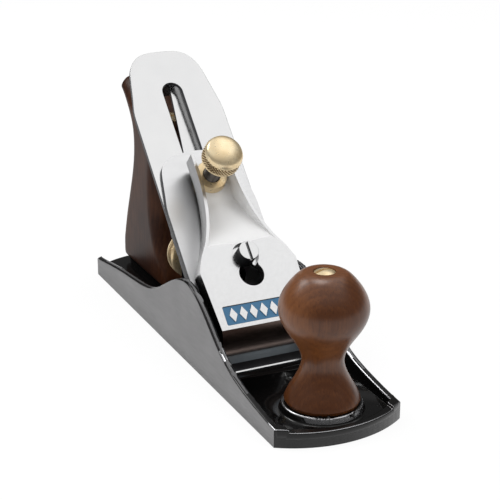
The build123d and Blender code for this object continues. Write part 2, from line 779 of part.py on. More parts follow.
# Lateral lever: strip behind the iron, set over to one side above its pivot, thumb tab across its top
strip_back = bed_h - 4.35
strip_thick = 2.0
strip_waist_at = 127.0
strip_flat = 5.4
strip_edge = 8.4
strip_lip = 0.3
tab_wide = 15.0
tab_low = strip_back - 8.5
tab_high = bed_h - 0.8
with BuildPart() as lateral_lever:
    with BuildSketch(bed_plane(strip_back)):
        with BuildLine():
            Polyline(
                (-5.2, lever_roller_at),
                (-5.2, 110),
                (-3.1, strip_waist_at),
                (1.3, lever_end_at),
                (strip_edge, lever_end_at),
                (strip_edge, strip_waist_at),
                (5.2, 110),
                (5.2, lever_roller_at),
                close=True,
            )
        make_face()
        with Locations((0, lever_roller_at)):
            Circle(5.2)
    extrude(amount=strip_thick)
    # Broad slope along one edge of the strip
    with BuildSketch(across_plane(lever_end_at)):
        with BuildLine():
            Polyline(
                (strip_flat, strip_back + strip_thick),
                (strip_edge, strip_back + strip_lip),
                (strip_edge + 2, strip_back + strip_lip),
                (strip_edge + 2, strip_back + strip_thick),
                close=True,
            )
        make_face()
    extrude(amount=lever_end_at - strip_waist_at + 8, mode=Mode.SUBTRACT)
    with BuildSketch(across_plane(lever_end_at + 2)):
        with Locations((0, (tab_low + tab_high) / 2)):
            RectangleRounded(tab_wide, tab_high - tab_low, 3)
    extrude(amount=2.0)
    with BuildSketch(bed_plane(strip_back - 1)):
        with Locations((0, lever_pivot_at)):
            Circle(lever_pin_radius + run_gap)
    extrude(amount=5, mode=Mode.SUBTRACT)
    with BuildSketch(bed_plane(strip_back - 1)):
        with Locations((0, lever_roller_at - 1.0)):
            Circle(roller_pin_radius + drive_gap)
    extrude(amount=5, mode=Mode.SUBTRACT)
lateral_lever.part.label = "lateral_lever"
export_step(lateral_lever.part, "parts/lateral_lever.step")

with BuildPart() as lateral_pin:
    with BuildSketch(bed_plane(-9.7)):
        with Locations((0, lever_pivot_at)):
            Circle(lever_pin_radius)
    extrude(amount=9.7 + strip_back + strip_thick - 0.05)
lateral_pin.part.label = "lateral_pin"
export_step(lateral_pin.part, "parts/lateral_pin.step")

with BuildPart() as lateral_roller:
    with BuildSketch(bed_plane(strip_back + strip_thick + 0.02)):
        with Locations((0, lever_roller_at)):
            Circle(lever_roller_radius)
    extrude(amount=-0.35 - (strip_back + strip_thick + 0.02))
    with BuildSketch(bed_plane(strip_back + 0.1)):
        with Locations((0, lever_roller_at - 1.0)):
            Circle(roller_pin_radius)
    extrude(amount=strip_thick)
lateral_roller.part.label = "lateral_roller"
export_step(lateral_roller.part, "parts/lateral_roller.step")

# Rounded free ends of the irons: share of the half width, and share of the run from shoulder to top
iron_end = ((0.937, 0.293), (0.849, 0.585), (0.738, 0.805), (0.516, 0.951))
cap_end = ((0.960, 0.282), (0.892, 0.592), (0.787, 0.817), (0.542, 0.935))


def rounded_end(half, shoulder, top, shares):
    """Points round the free end of an iron, from one shoulder to the other."""
    right = [(half * across, shoulder + along * (top - shoulder)) for across, along in shares]
    left = [(-y, s) for y, s in reversed(right)]
    return [(half, shoulder), *right, (0, top), *left, (-half, shoulder)]


# Plane iron, bevel down, rounded top, long slot
iron_foot = edge_lift / n
with BuildPart() as blade:
    with BuildSketch(bed_plane(-iron_thick)):
        with BuildLine():
            Line((-iron_half, iron_foot), (iron_half, iron_foot))
            Line((iron_half, iron_foot), (iron_half, iron_shoulder))
            Spline(
                *rounded_end(iron_half, iron_shoulder, iron_length, iron_end),
                tangents=((0, 1), (0, -1)),
            )
            Line((-iron_half, iron_shoulder), (-iron_half, iron_foot))
        make_face()
        with Locations((0, (iron_slot_low + iron_slot_top) / 2)):
            SlotOverall(iron_slot_top - iron_slot_low, iron_slot, rotation=90, mode=Mode.SUBTRACT)
    extrude(amount=iron_thick)
    with BuildSketch(side_plane()):
        with BuildLine():
            Polyline(
                (iron_foot, 0),
                (iron_foot + 4.7, -iron_thick),
                (iron_foot + 4.7, -iron_thick - 1),
                (iron_foot - 2, -iron_thick - 1),
                (iron_foot - 2, 0),
                close=True,
            )
        make_face()
    extrude(amount=40, both=True, mode=Mode.SUBTRACT)
blade.part.label = "blade"
export_step(blade.part, "parts/blade.step")

# Cap iron: flat plate with a hump ahead of the edge
cap_half = iron_half - 0.3
cap_tip = iron_foot + 1.4
with BuildPart() as cap_iron:
    with BuildSketch(side_plane()):
        with BuildLine():
            Line((cap_tip, 0), (cap_tip, 0.35))
            Spline(
                (cap_tip, 0.35),
                (5.6, 3.1),
                (cap_hump_at, cap_hump),
                (19, 3.5),
                (cap_hump_end, cap_thick),
                tangents=((1, 0.75), (1, 0)),
            )
            Line((cap_hump_end, cap_thick), (cap_top, cap_thick))
            Line((cap_top, cap_thick), (cap_top, 0))
            Line((cap_top, 0), (cap_hump_end, 0))
            Spline(
                (cap_hump_end, 0),
                (19, 1.3),
                (cap_hump_at, cap_hump - cap_thick),
                (7, 1.4),
                (cap_tip + 1.6, 0),
                tangents=((-1, 0), (-1, -0.55)),
            )
            Line((cap_tip + 1.6, 0), (cap_tip, 0))
        make_face()
    extrude(amount=cap_half, both=True)
    with BuildSketch(bed_plane(-1)):
        with BuildLine():
            Line((-cap_half, -5), (cap_half, -5))
            Line((cap_half, -5), (cap_half, cap_shoulder))
            Spline(
                *rounded_end(cap_half, cap_shoulder, cap_top, cap_end),
                tangents=((0, 1), (0, -1)),
            )
            Line((-cap_half, cap_shoulder), (-cap_half, -5))
        make_face()
    extrude(amount=12, mode=Mode.INTERSECT)
    with BuildSketch(bed_plane(-1)):
        with Locations((0, cap_screw_at)):
            Circle(cap_screw_radius + run_gap)
        with Locations((0, lever_screw_at)):
            SlotOverall(14, 10.6, rotation=90)
        with Locations((0, yoke_at)):
            Rectangle(8.2, 3.9)
    extrude(amount=12, mode=Mode.SUBTRACT)
cap_iron.part.label = "cap_iron"
export_step(cap_iron.part, "parts/cap_iron.step")

with BuildPart() as cap_iron_screw:
    with BuildSketch(bed_plane(bed_h)):
        with Locations((0, cap_screw_at)):
            Circle(cap_screw_head)
    extrude(amount=-cap_screw_thick)
    with BuildSketch(bed_plane(bed_h)):
        with Locations((0, cap_screw_at)):
            Circle(cap_screw_radius)
    extrude(amount=cap_thick - 0.1 - bed_h)
    with BuildSketch(bed_plane(bed_h - cap_screw_thick)):
        with Locations((0, cap_screw_at)):
            Rectangle(16, 1.6)
    extrude(amount=1.4, mode=Mode.SUBTRACT)
cap_iron_screw.part.label = "cap_iron_screw"
export_step(cap_iron_screw.part, "parts/cap_iron_screw.step")

# Run of the lever cap's sides up to its neck: share of the swell beyond the neck, and share of the run
cap_sides = (
    (0.786, 0.134),
    (0.539, 0.250),
    (0.344, 0.375),
    (0.201, 0.500),
    (0.097, 0.643),
    (0.019, 0.821),
)


def neck_run(inset):
    """Points up one side of the lever cap, from its widest place to its neck, drawn in by an inset."""
    swell = cap_wide_half - neck_half
    rise = neck_at - cap_wide_at
    shares = ((1, 0), *cap_sides, (0, 1))
    return [(neck_half + across * swell - inset, cap_wide_at + along * rise) for across, along in shares]


def mirrored(points):
    """The same points on the other side, in the order that closes an outline."""
    return [(-y, s) for y, s in reversed(points)]


# Scoop in the neck of the lever cap, open at its upper end
scoop_side = neck_run(neck_wall)
scoop_end = thumb_neck_end + 10
with BuildPart() as scoop:
    with BuildSketch(bed_plane(thumb_floor)):
        with BuildLine():
            Spline(*scoop_side)
            Line(scoop_side[-1], (scoop_side[-1][0], scoop_end))
            Line((scoop_side[-1][0], scoop_end), (-scoop_side[-1][0], scoop_end))
            Line((-scoop_side[-1][0], scoop_end), mirrored(scoop_side)[0])
            Spline(*mirrored(scoop_side))
            Line(mirrored(scoop_side)[-1], scoop_side[0])
        make_face()
    extrude(amount=cap_face - thumb_floor + 1)
    with BuildSketch(side_plane()):
        with BuildLine():
            Spline(
                (scoop_from, cap_face + 0.15),
                (scoop_from + 6, cap_face - 0.6),
                (scoop_to - 6, thumb_floor + 0.85),
                (scoop_to, thumb_floor),
                tangents=((1, 0), (1, 0)),
            )
            Line((scoop_to, thumb_floor), (scoop_end, thumb_floor))
            Line((scoop_end, thumb_floor), (scoop_end, cap_face + 2))
            Line((scoop_end, cap_face + 2), (scoop_from, cap_face + 2))
            Line((scoop_from, cap_face + 2), (scoop_from, cap_face + 0.15))
        make_face()
    extrude(amount=sole_width, both=True, mode=Mode.INTERSECT)

# Hollow under the lever cap's face, inside its foot and side walls
hollow_side = neck_run(cap_side)
hollow_top = cap_face - cap_plate
hollow_from = cap_foot_at + 6.1
hollow_to = scoop_from + 11.0
with BuildPart() as lever_hollow:
    with BuildSketch(bed_plane(lip_h - 1)):
        with BuildLine():
            Line((0, cap_foot_at), (cap_foot_half - cap_side, cap_foot_at))
            Line((cap_foot_half - cap_side, cap_foot_at), hollow_side[0])
            Spline(*hollow_side)
            Line(hollow_side[-1], mirrored(hollow_side)[0])
            Spline(*mirrored(hollow_side))
            Line(mirrored(hollow_side)[-1], (-cap_foot_half + cap_side, cap_foot_at))
            Line((-cap_foot_half + cap_side, cap_foot_at), (0, cap_foot_at))
        make_face()
    extrude(amount=cap_face)
    with BuildSketch(side_plane()):
        with BuildLine():
            Polyline(
                (hollow_from, lip_h - 1),
                (hollow_from, lip_h),
                (hollow_from + 8.5, hollow_top),
                (hollow_to - 10.0, hollow_top),
                (hollow_to, lip_h),
                (hollow_to, lip_h - 1),
                close=True,
            )
        make_face()
    extrude(amount=sole_width, both=True, mode=Mode.INTERSECT)

# Lever cap: deep casting with a rounded nose, keyhole, name-panel recess left plain
panel_low = 18.6
panel_high = 28.5
panel_half = 20.8
lozenge_count = 7
lozenge_step = 5.4
lozenge_half = 2.1
lozenge_tall = 3.7
nose_run = 8.1
with BuildPart() as lever_cap:
    # Side walls square to the face above, drawn in below
    for wall_h, inset in ((lip_h, cap_draw_in), (cap_wall_low, 0), (cap_face, 0)):
        side = neck_run(inset)
        with BuildSketch(bed_plane(wall_h)):
            with BuildLine():
                Line((0, cap_foot_at), (cap_foot_half, cap_foot_at))
                Line((cap_foot_half, cap_foot_at), side[0])
                Spline(*side, tangents=((-0.45, 1), (0, 1)))
                Line(side[-1], (side[-1][0], thumb_neck_end))
                Line((side[-1][0], thumb_neck_end), (-side[-1][0], thumb_neck_end))
                Line((-side[-1][0], thumb_neck_end), mirrored(side)[0])
                Spline(*mirrored(side), tangents=((0, -1), (-0.45, -1)))
                Line(mirrored(side)[-1], (-cap_foot_half, cap_foot_at))
                Line((-cap_foot_half, cap_foot_at), (0, cap_foot_at))
            make_face()
    loft(ruled=True)
    # Rounded nose
    with BuildSketch(side_plane()):
        with BuildLine():
            ThreePointArc(
                (cap_foot_at + nose_run, cap_face),
                (cap_foot_at + 3.0, lip_h + 9.5),
                (cap_foot_at, lip_h + 1.5),
            )
            Line((cap_foot_at, lip_h + 1.5), (cap_foot_at - 4, lip_h + 1.5))
            Line((cap_foot_at - 4, lip_h + 1.5), (cap_foot_at - 4, cap_face + 2))
            Line((cap_foot_at - 4, cap_face + 2), (cap_foot_at + nose_run, cap_face + 2))
            Line((cap_foot_at + nose_run, cap_face + 2), (cap_foot_at + nose_run, cap_face))
        make_face()
    extrude(amount=40, both=True, mode=Mode.SUBTRACT)
    add(lever_hollow.part, mode=Mode.SUBTRACT)
    add(scoop.part, mode=Mode.SUBTRACT)
    # Keyhole: through hole, narrow slot and a recess for the screw head
    with BuildSketch(bed_plane(0)):
        with Locations((0, keyhole_at)):
            Circle(keyhole_radius)
        with Locations((0, (keyhole_at + lever_screw_at) / 2)):
            Rectangle(2 * key_slot_half, lever_screw_at - keyhole_at)
        with Locations((0, lever_screw_at)):
            Circle(key_slot_half)
    extrude(amount=cap_face + 5, mode=Mode.SUBTRACT)
    with BuildSketch(bed_plane(cap_face - recess_depth)):
        with Locations((0, lever_screw_at)):
            Circle(recess_radius)
        with Locations((0, (keyhole_at + lever_screw_at) / 2)):
            Rectangle(2 * lever_head_radius + 0.3, lever_screw_at - keyhole_at)
    extrude(amount=10, mode=Mode.SUBTRACT)
    # Shallow panel with a row of plain raised lozenges
    with BuildSketch(bed_plane(cap_face - 0.8)):
        with Locations((0, (panel_low + panel_high) / 2)):
            RectangleRounded(2 * panel_half, panel_high - panel_low, 0.8)
        with GridLocations(lozenge_step, 0, lozenge_count, 1):
            with Locations((0, (panel_low + panel_high) / 2)):
                Polygon(
                    (-lozenge_half, 0),
                    (0, -lozenge_tall),
                    (lozenge_half, 0),
                    (0, lozenge_tall),
                    mode=Mode.SUBTRACT,
                )
    extrude(amount=3, mode=Mode.SUBTRACT)
    # Hole for the threaded bush
    with BuildSketch(bed_plane(0)):
        with Locations((0, thumb_at)):
            Circle(bush_radius + drive_gap)
    extrude(amount=thumb_floor + 1, mode=Mode.SUBTRACT)
lever_cap.part.label = "lever_cap"
export_step(lever_cap.part, "parts/lever_cap.step")

with BuildPart() as lever_cap_bush:
    with BuildSketch(bed_plane(lip_h)):
        with Locations((0, thumb_at)):
            Circle(bush_radius)
    extrude(amount=thumb_floor - lip_h)
    with BuildSketch(bed_plane(thumb_floor)):
        with Locations((0, thumb_at)):
            Circle(8.6)
    extrude(amount=4.4, taper=6)
    with BuildSketch(bed_plane(lip_h - 1)):
        with Locations((0, thumb_at)):
            Circle(thumb_stud_radius + run_gap)
    extrude(amount=20, mode=Mode.SUBTRACT)
lever_cap_bush.part.label = "lever_cap_bush"
export_step(lever_cap_bush.part, "parts/lever_cap_bush.step")

# Lever-cap screw: tall slotted head on a long shank into the frog
head_seat = cap_face - recess_depth + 0.05
with BuildPart() as lever_cap_screw:
    with BuildSketch(bed_plane(-12.8)):
        with Locations((0, lever_screw_at)):
            Circle(lever_screw_radius)
    extrude(amount=head_seat + 12.8)
    with BuildSketch(bed_plane(head_seat)):
        with Locations((0, lever_screw_at)):
            Circle(lever_head_radius)
    extrude(amount=lever_head_tall)
    with BuildSketch(bed_plane(head_seat + lever_head_tall - 1.4)):
        with Locations((0, lever_screw_at)):
            Rectangle(1.2, 14)
    extrude(amount=4, mode=Mode.SUBTRACT)
lever_cap_screw.part.label = "lever_cap_screw"
export_step(lever_cap_screw.part, "parts/lever_cap_screw.step")

# Thumb screw: steel stud bearing on the cap iron, domed brass head
head_low = 27.0
head_skirt = 8.4
head_tall = 12.2
head_rim = thumb_at + thumb_head_radius
with BuildPart() as thumb_screw_stud:
    with BuildSketch(bed_plane(cap_thick + 0.05)):
        with Locations((0, thumb_at)):
            Circle(thumb_stud_radius)
    extrude(amount=head_low + 6.0 - cap_thick - 0.05)
thumb_screw_stud.part.label = "thumb_screw_stud"
export_step(thumb_screw_stud.part, "parts/thumb_screw_stud.step")

with BuildPart() as thumb_screw_knob:
    with BuildSketch(side_plane()):
        with BuildLine():
            Line((thumb_at, head_low), (head_rim - 1.4, head_low))
            Line((head_rim - 1.4, head_low), (head_rim, head_low + 1.2))
            Line((head_rim, head_low + 1.2), (head_rim, head_low + head_skirt))
            Spline(
                (head_rim, head_low + head_skirt),
                (thumb_at + 8.6, head_low + 10.2),
                (thumb_at + 4.8, head_low + 11.6),
                (thumb_at, head_low + head_tall),
                tangents=((-0.1, 1), (-1, 0)),
            )
            Line((thumb_at, head_low + head_tall), (thumb_at, head_low))
        make_face()
    revolve(axis=Axis(bed_point(thumb_at, 0), (n, 0, c)))
    with BuildSketch(bed_plane(head_low - 1)):
        with Locations((0, thumb_at)):
            Circle(thumb_stud_radius + run_gap)
    extrude(amount=7.2, mode=Mode.SUBTRACT)
thumb_screw_knob.part.label = "thumb_screw_knob"
export_step(thumb_screw_knob.part, "parts/thumb_screw_knob.step")
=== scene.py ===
"""Looks of a bench smoothing plane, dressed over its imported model.

Everything is in metres in the model's frame: X to the toe, Y to the left hand, Z up, sole on Z = 0.
On the bed, s runs up the iron from its cutting edge and h stands off the iron's front face.
"""

import json
from math import cos, pi, radians, sin, sqrt

import bmesh
import bpy
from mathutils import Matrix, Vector
from mathutils.kdtree import KDTree


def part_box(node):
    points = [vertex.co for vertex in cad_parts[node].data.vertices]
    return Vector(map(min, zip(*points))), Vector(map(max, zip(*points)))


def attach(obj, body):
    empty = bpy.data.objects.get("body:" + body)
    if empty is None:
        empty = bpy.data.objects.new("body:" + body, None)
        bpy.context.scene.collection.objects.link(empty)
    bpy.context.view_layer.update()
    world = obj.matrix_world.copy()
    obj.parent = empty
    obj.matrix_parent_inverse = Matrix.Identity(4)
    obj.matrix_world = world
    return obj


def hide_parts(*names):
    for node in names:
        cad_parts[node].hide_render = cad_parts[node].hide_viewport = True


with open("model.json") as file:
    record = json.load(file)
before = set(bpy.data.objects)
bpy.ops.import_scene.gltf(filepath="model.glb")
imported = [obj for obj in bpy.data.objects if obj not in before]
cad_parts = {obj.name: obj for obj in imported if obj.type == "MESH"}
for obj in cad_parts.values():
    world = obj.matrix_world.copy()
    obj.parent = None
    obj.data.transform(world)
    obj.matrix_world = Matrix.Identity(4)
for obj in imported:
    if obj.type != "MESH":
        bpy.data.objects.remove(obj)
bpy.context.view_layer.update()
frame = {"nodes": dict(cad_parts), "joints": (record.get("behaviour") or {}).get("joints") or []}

MM = 0.001
HAIR = 0.3 * MM
TIP_RADIUS = 1e-7
SHARP_EDGE = radians(32)

# Camera, fitted to the corners of the sole, the iron and the lever cap
CAMERA_TARGET = Vector((0.015256, 0.00443, 0.052283))
CAMERA_AZIMUTH = 64.505
CAMERA_ELEVATION = 20.428
CAMERA_DISTANCE = 0.658185
CAMERA_LENS = 95.453
SENSOR_WIDTH = 36.0

# Bed of the iron
EDGE_X = 42.8 * MM
BED_UP = Vector((-sqrt(0.5), 0, sqrt(0.5)))
BED_OUT = Vector((sqrt(0.5), 0, sqrt(0.5)))
CAP_FACE = 20.0 * MM
KEYHOLE_AT = 43.0 * MM
KEYHOLE_RADIUS = 6.5 * MM
SCOOP_FROM = 57.0 * MM
NOSE_TO = 16.5 * MM
SLOPE_FROM = 5.0 * MM
SLOPE_TO = 12.0 * MM

# Sole casting
INNER_HALF = 28.5 * MM
CHEEK_LOW = 9.0 * MM
CREST_LOW = 12.0 * MM
RIB_AT = 59.8 * MM
TOE_LIP_FROM = 112.0 * MM
BOSS_REACH = (16.0 * MM, 19.2 * MM)
BOSS_RIM_LOW = 8.5 * MM
CHEEK_EASE = 1.15 * MM
RIB_EASE = 0.9 * MM
LIP_EASE = 0.6 * MM

# Tote
TOTE_ROUND = 3.6 * MM
GRIP_ROUND = 8.5 * MM

# Panel on the lever cap
PANEL_LOW = 18.6 * MM
PANEL_HIGH = 28.5 * MM
PANEL_HALF = 20.8 * MM
PANEL_DEPTH = 0.8 * MM

# Knurled heads
THUMB_HEAD_RADIUS = 10.2 * MM
THUMB_HEAD_LOW = 27.0 * MM
THUMB_SKIRT = 8.4 * MM
THUMB_HEAD_TALL = 12.1 * MM
THUMB_KNURLS = 38
WHEEL_RADIUS = 13.5 * MM
WHEEL_KNURLS = 66
THREAD_PITCH = 1.3 * MM


def bed_point(s, h, y=0.0):
    """World point at s up the iron and h off its front face."""
    return Vector((EDGE_X, y, 0)) + BED_UP * s + BED_OUT * h


def joint(name):
    """A joint of the frame by name."""
    return next(j for j in frame["joints"] if j["name"] == name)


# Materials

def node_group(name, inputs, outputs):
    """An empty shader node group with named value or colour sockets."""
    group = bpy.data.node_groups.new(name, "ShaderNodeTree")
    for label, kind, default in inputs:
        socket = group.interface.new_socket(label, in_out="INPUT", socket_type=kind)
        socket.default_value = default
    for label, kind in outputs:
        group.interface.new_socket(label, in_out="OUTPUT", socket_type=kind)
    entry = group.nodes.new("NodeGroupInput")
    leave = group.nodes.new("NodeGroupOutput")
    return group, entry, leave


def add_node(tree, kind, settings=None, values=None):
    """A node with its settings and the constants on its sockets."""
    node = tree.nodes.new(kind)
    for key, value in (settings or {}).items():
        setattr(node, key, value)
    for key, value in (values or {}).items():
        node.inputs[key].default_value = value
    return node


def grain_group():
    """Wood grain: growth rings about a far pith line, long fibres and short dark pores."""
    group, entry, leave = node_group(
        "wood_grain",
        [("Pith", "NodeSocketVector", (0, 0, 0)), ("Ring Size", "NodeSocketFloat", 0.004)],
        [(label, "NodeSocketFloat") for label in ("Rings", "Fibre", "Pores", "Figure")],
    )
    link = group.links.new
    place = add_node(group, "ShaderNodeTexCoord")
    shift = add_node(group, "ShaderNodeVectorMath", {"operation": "SUBTRACT"})
    link(place.outputs["Object"], shift.inputs[0])
    link(entry.outputs["Pith"], shift.inputs[1])
    slow = add_node(group, "ShaderNodeTexNoise", None, {"Scale": 28.0, "Detail": 3.0, "Roughness": 0.5})
    link(place.outputs["Object"], slow.inputs["Vector"])
    flat = add_node(group, "ShaderNodeVectorMath", {"operation": "MULTIPLY"}, {1: (1, 1, 0.12)})
    link(shift.outputs[0], flat.inputs[0])
    reach = add_node(group, "ShaderNodeVectorMath", {"operation": "LENGTH"})
    link(flat.outputs[0], reach.inputs[0])
    sway = add_node(group, "ShaderNodeMath", {"operation": "MULTIPLY_ADD"}, {1: 0.004})
    link(slow.outputs["Fac"], sway.inputs[0])
    link(slow.outputs["Fac"], leave.inputs["Figure"])
    link(reach.outputs["Value"], sway.inputs[2])
    turns = add_node(group, "ShaderNodeMath", {"operation": "DIVIDE"})
    link(sway.outputs[0], turns.inputs[0])
    link(entry.outputs["Ring Size"], turns.inputs[1])
    cycle = add_node(group, "ShaderNodeMath", {"operation": "FRACT"})
    link(turns.outputs[0], cycle.inputs[0])
    shape = add_node(group, "ShaderNodeMapRange", {"interpolation_type": "SMOOTHSTEP"})
    link(cycle.outputs[0], shape.inputs["Value"])
    fall = add_node(
        group,
        "ShaderNodeMapRange",
        {"interpolation_type": "SMOOTHSTEP"},
        {"From Min": 0.70, "To Min": 1.0, "To Max": 0.0},
    )
    link(cycle.outputs[0], fall.inputs["Value"])
    both = add_node(group, "ShaderNodeMath", {"operation": "MULTIPLY"})
    link(shape.outputs["Result"], both.inputs[0])
    link(fall.outputs["Result"], both.inputs[1])
    link(both.outputs[0], leave.inputs["Rings"])
    thin = add_node(group, "ShaderNodeVectorMath", {"operation": "MULTIPLY"}, {1: (1, 1, 0.05)})
    link(place.outputs["Object"], thin.inputs[0])
    fibre = add_node(
        group, "ShaderNodeTexNoise", None, {"Scale": 900.0, "Detail": 4.0, "Roughness": 0.65}
    )
    link(thin.outputs[0], fibre.inputs["Vector"])
    link(fibre.outputs["Fac"], leave.inputs["Fibre"])
    cells = add_node(
        group, "ShaderNodeTexNoise", None, {"Scale": 1700.0, "Detail": 1.0, "Roughness": 0.4}
    )
    link(thin.outputs[0], cells.inputs["Vector"])
    pores = add_node(group, "ShaderNodeMapRange", None, {"From Min": 0.60, "From Max": 0.70})
    link(cells.outputs["Fac"], pores.inputs["Value"])
    link(pores.outputs["Result"], leave.inputs["Pores"])
    return group


def scuff_group():
    """Fine marks on worked metal: lines drawn along one way, and slow cloudy change."""
    group, entry, leave = node_group(
        "metal_scuff",
        [
            ("Stretch", "NodeSocketVector", (1, 1, 1)),
            ("Line Scale", "NodeSocketFloat", 900.0),
            ("Cloud Scale", "NodeSocketFloat", 60.0),
        ],
        [("Lines", "NodeSocketFloat"), ("Cloud", "NodeSocketFloat")],
    )
    link = group.links.new
    place = add_node(group, "ShaderNodeTexCoord")
    stretch = add_node(group, "ShaderNodeVectorMath", {"operation": "MULTIPLY"})
    link(place.outputs["Object"], stretch.inputs[0])
    link(entry.outputs["Stretch"], stretch.inputs[1])
    lines = add_node(group, "ShaderNodeTexNoise", None, {"Detail": 3.0, "Roughness": 0.6})
    link(stretch.outputs[0], lines.inputs["Vector"])
    link(entry.outputs["Line Scale"], lines.inputs["Scale"])
    link(lines.outputs["Fac"], leave.inputs["Lines"])
    cloud = add_node(group, "ShaderNodeTexNoise", None, {"Detail": 4.0, "Roughness": 0.55})
    link(place.outputs["Object"], cloud.inputs["Vector"])
    link(entry.outputs["Cloud Scale"], cloud.inputs["Scale"])
    link(cloud.outputs["Fac"], leave.inputs["Cloud"])
    return group


GRAIN = grain_group()
SCUFF = scuff_group()


def new_material(name, sockets):
    """A material with one Principled shader and its constant sockets."""
    material = bpy.data.materials.new(name)
    material.use_nodes = True
    tree = material.node_tree
    shader = tree.nodes["Principled BSDF"]
    for key, value in sockets.items():
        shader.inputs[key].default_value = value
    return material, tree, shader


def place_group(tree, group, values):
    """A group node with its own values."""
    node = tree.nodes.new("ShaderNodeGroup")
    node.node_tree = group
    for key, value in values.items():
        node.inputs[key].default_value = value
    return node


def to_range(tree, source, low, high, start=0.0, end=1.0):
    """Maps a value from start..end to low..high."""
    node = add_node(
        tree,
        "ShaderNodeMapRange",
        None,
        {"From Min": start, "From Max": end, "To Min": low, "To Max": high},
    )
    tree.links.new(source, node.inputs["Value"])
    return node.outputs["Result"]


def blend_colours(tree, factor, first, second):
    """Mix of two constant colours by a factor."""
    node = add_node(tree, "ShaderNodeMix", {"data_type": "RGBA"})
    node.inputs[6].default_value = (*first, 1)
    node.inputs[7].default_value = (*second, 1)
    tree.links.new(factor, node.inputs[0])
    return node.outputs[2]


def bump(tree, shader, height, strength, distance):
    """Feeds a height into the shader's normal."""
    node = add_node(tree, "ShaderNodeBump", None, {"Strength": strength, "Distance": distance})
    tree.links.new(height, node.inputs["Height"])
    tree.links.new(node.outputs["Normal"], shader.inputs["Normal"])


def varnished_wood(name, pith, ring_size, light, dark, coat, coat_rough):
    """Oiled brown hardwood under a thin varnish."""
    varnish = {"Coat Weight": coat, "Coat Roughness": coat_rough, "Specular IOR Level": 0.05}
    material, tree, shader = new_material(name, varnish)
    grain = place_group(tree, GRAIN, {"Pith": pith, "Ring Size": ring_size})
    link = tree.links.new
    tone = add_node(tree, "ShaderNodeMath", {"operation": "MULTIPLY_ADD"}, {1: 0.20})
    link(grain.outputs["Rings"], tone.inputs[0])
    link(to_range(tree, grain.outputs["Fibre"], 0.0, 0.36, 0.3, 0.7), tone.inputs[2])
    figure = add_node(tree, "ShaderNodeMath", {"operation": "ADD"})
    link(tone.outputs[0], figure.inputs[0])
    link(to_range(tree, grain.outputs["Figure"], 0.0, 0.75, 0.38, 0.62), figure.inputs[1])
    base = blend_colours(tree, to_range(tree, figure.outputs[0], 0.0, 1.0, 0.1, 1.0), light, dark)
    shade = add_node(tree, "ShaderNodeMix", {"data_type": "RGBA", "blend_type": "MULTIPLY"})
    link(to_range(tree, grain.outputs["Pores"], 0.0, 0.35), shade.inputs[0])
    link(base, shade.inputs[6])
    shade.inputs[7].default_value = (0.35, 0.28, 0.24, 1)
    link(shade.outputs[2], shader.inputs["Base Color"])
    link(to_range(tree, grain.outputs["Fibre"], 0.40, 0.52), shader.inputs["Roughness"])
    bump(tree, shader, grain.outputs["Fibre"], 0.06, 0.0001)
    return material


def worked_metal(name, light, dark, rough, marks, cloud_scale=60.0, metallic=1.0):
    """Metal with a drawn or ground surface: colour, roughness and bump follow its marks.

    The marks are their stretch along each axis, their fineness and their depth.
    """
    stretch, line_scale, depth = marks
    material, tree, shader = new_material(name, {"Metallic": metallic})
    values = {"Stretch": stretch, "Line Scale": line_scale, "Cloud Scale": cloud_scale}
    scuff = place_group(tree, SCUFF, values)
    link = tree.links.new
    cloud = to_range(tree, scuff.outputs["Cloud"], 0, 1, 0.3, 0.7)
    link(blend_colours(tree, cloud, light, dark), shader.inputs["Base Color"])
    sheen = to_range(tree, scuff.outputs["Lines"], rough[0], rough[1], 0.3, 0.7)
    link(sheen, shader.inputs["Roughness"])
    bump(tree, shader, scuff.outputs["Lines"], 0.3, depth)
    return material


def enamel(name, light, dark, rough, ripple, shine):
    """Thick gloss enamel on cast iron, with a faint ripple."""
    material, tree, shader = new_material(name, {"Specular IOR Level": shine})
    scuff = place_group(tree, SCUFF, {"Line Scale": 420.0, "Cloud Scale": 90.0})
    link = tree.links.new
    link(blend_colours(tree, scuff.outputs["Cloud"], light, dark), shader.inputs["Base Color"])
    link(to_range(tree, scuff.outputs["Cloud"], rough[0], rough[1]), shader.inputs["Roughness"])
    bump(tree, shader, scuff.outputs["Lines"], 0.2, ripple)
    return material


WOOD_KNOB = varnished_wood(
    "varnished_knob_wood",
    pith=(0.030, 0.034, 0.02),
    ring_size=0.0024,
    light=(0.165, 0.056, 0.014),
    dark=(0.066, 0.019, 0.004),
    coat=0.8,
    coat_rough=0.30,
)
WOOD_TOTE = varnished_wood(
    "varnished_tote_wood",
    pith=(-0.14, -0.055, 0.03),
    ring_size=0.0030,
    light=(0.072, 0.026, 0.011),
    dark=(0.026, 0.009, 0.005),
    coat=0.18,
    coat_rough=0.30,
)

# Marks on metal: stretch along X, Y and Z, fineness, and depth
GROUND = ((0.06, 1, 1), 1500.0, 0.00002)
DRAWN = ((1, 0.05, 1), 1400.0, 0.000003)
BUFFED = ((1, 1, 1), 600.0, 0.000002)
TURNED = ((1, 1, 1), 900.0, 0.00001)
CAST = ((1, 1, 1), 700.0, 0.00001)

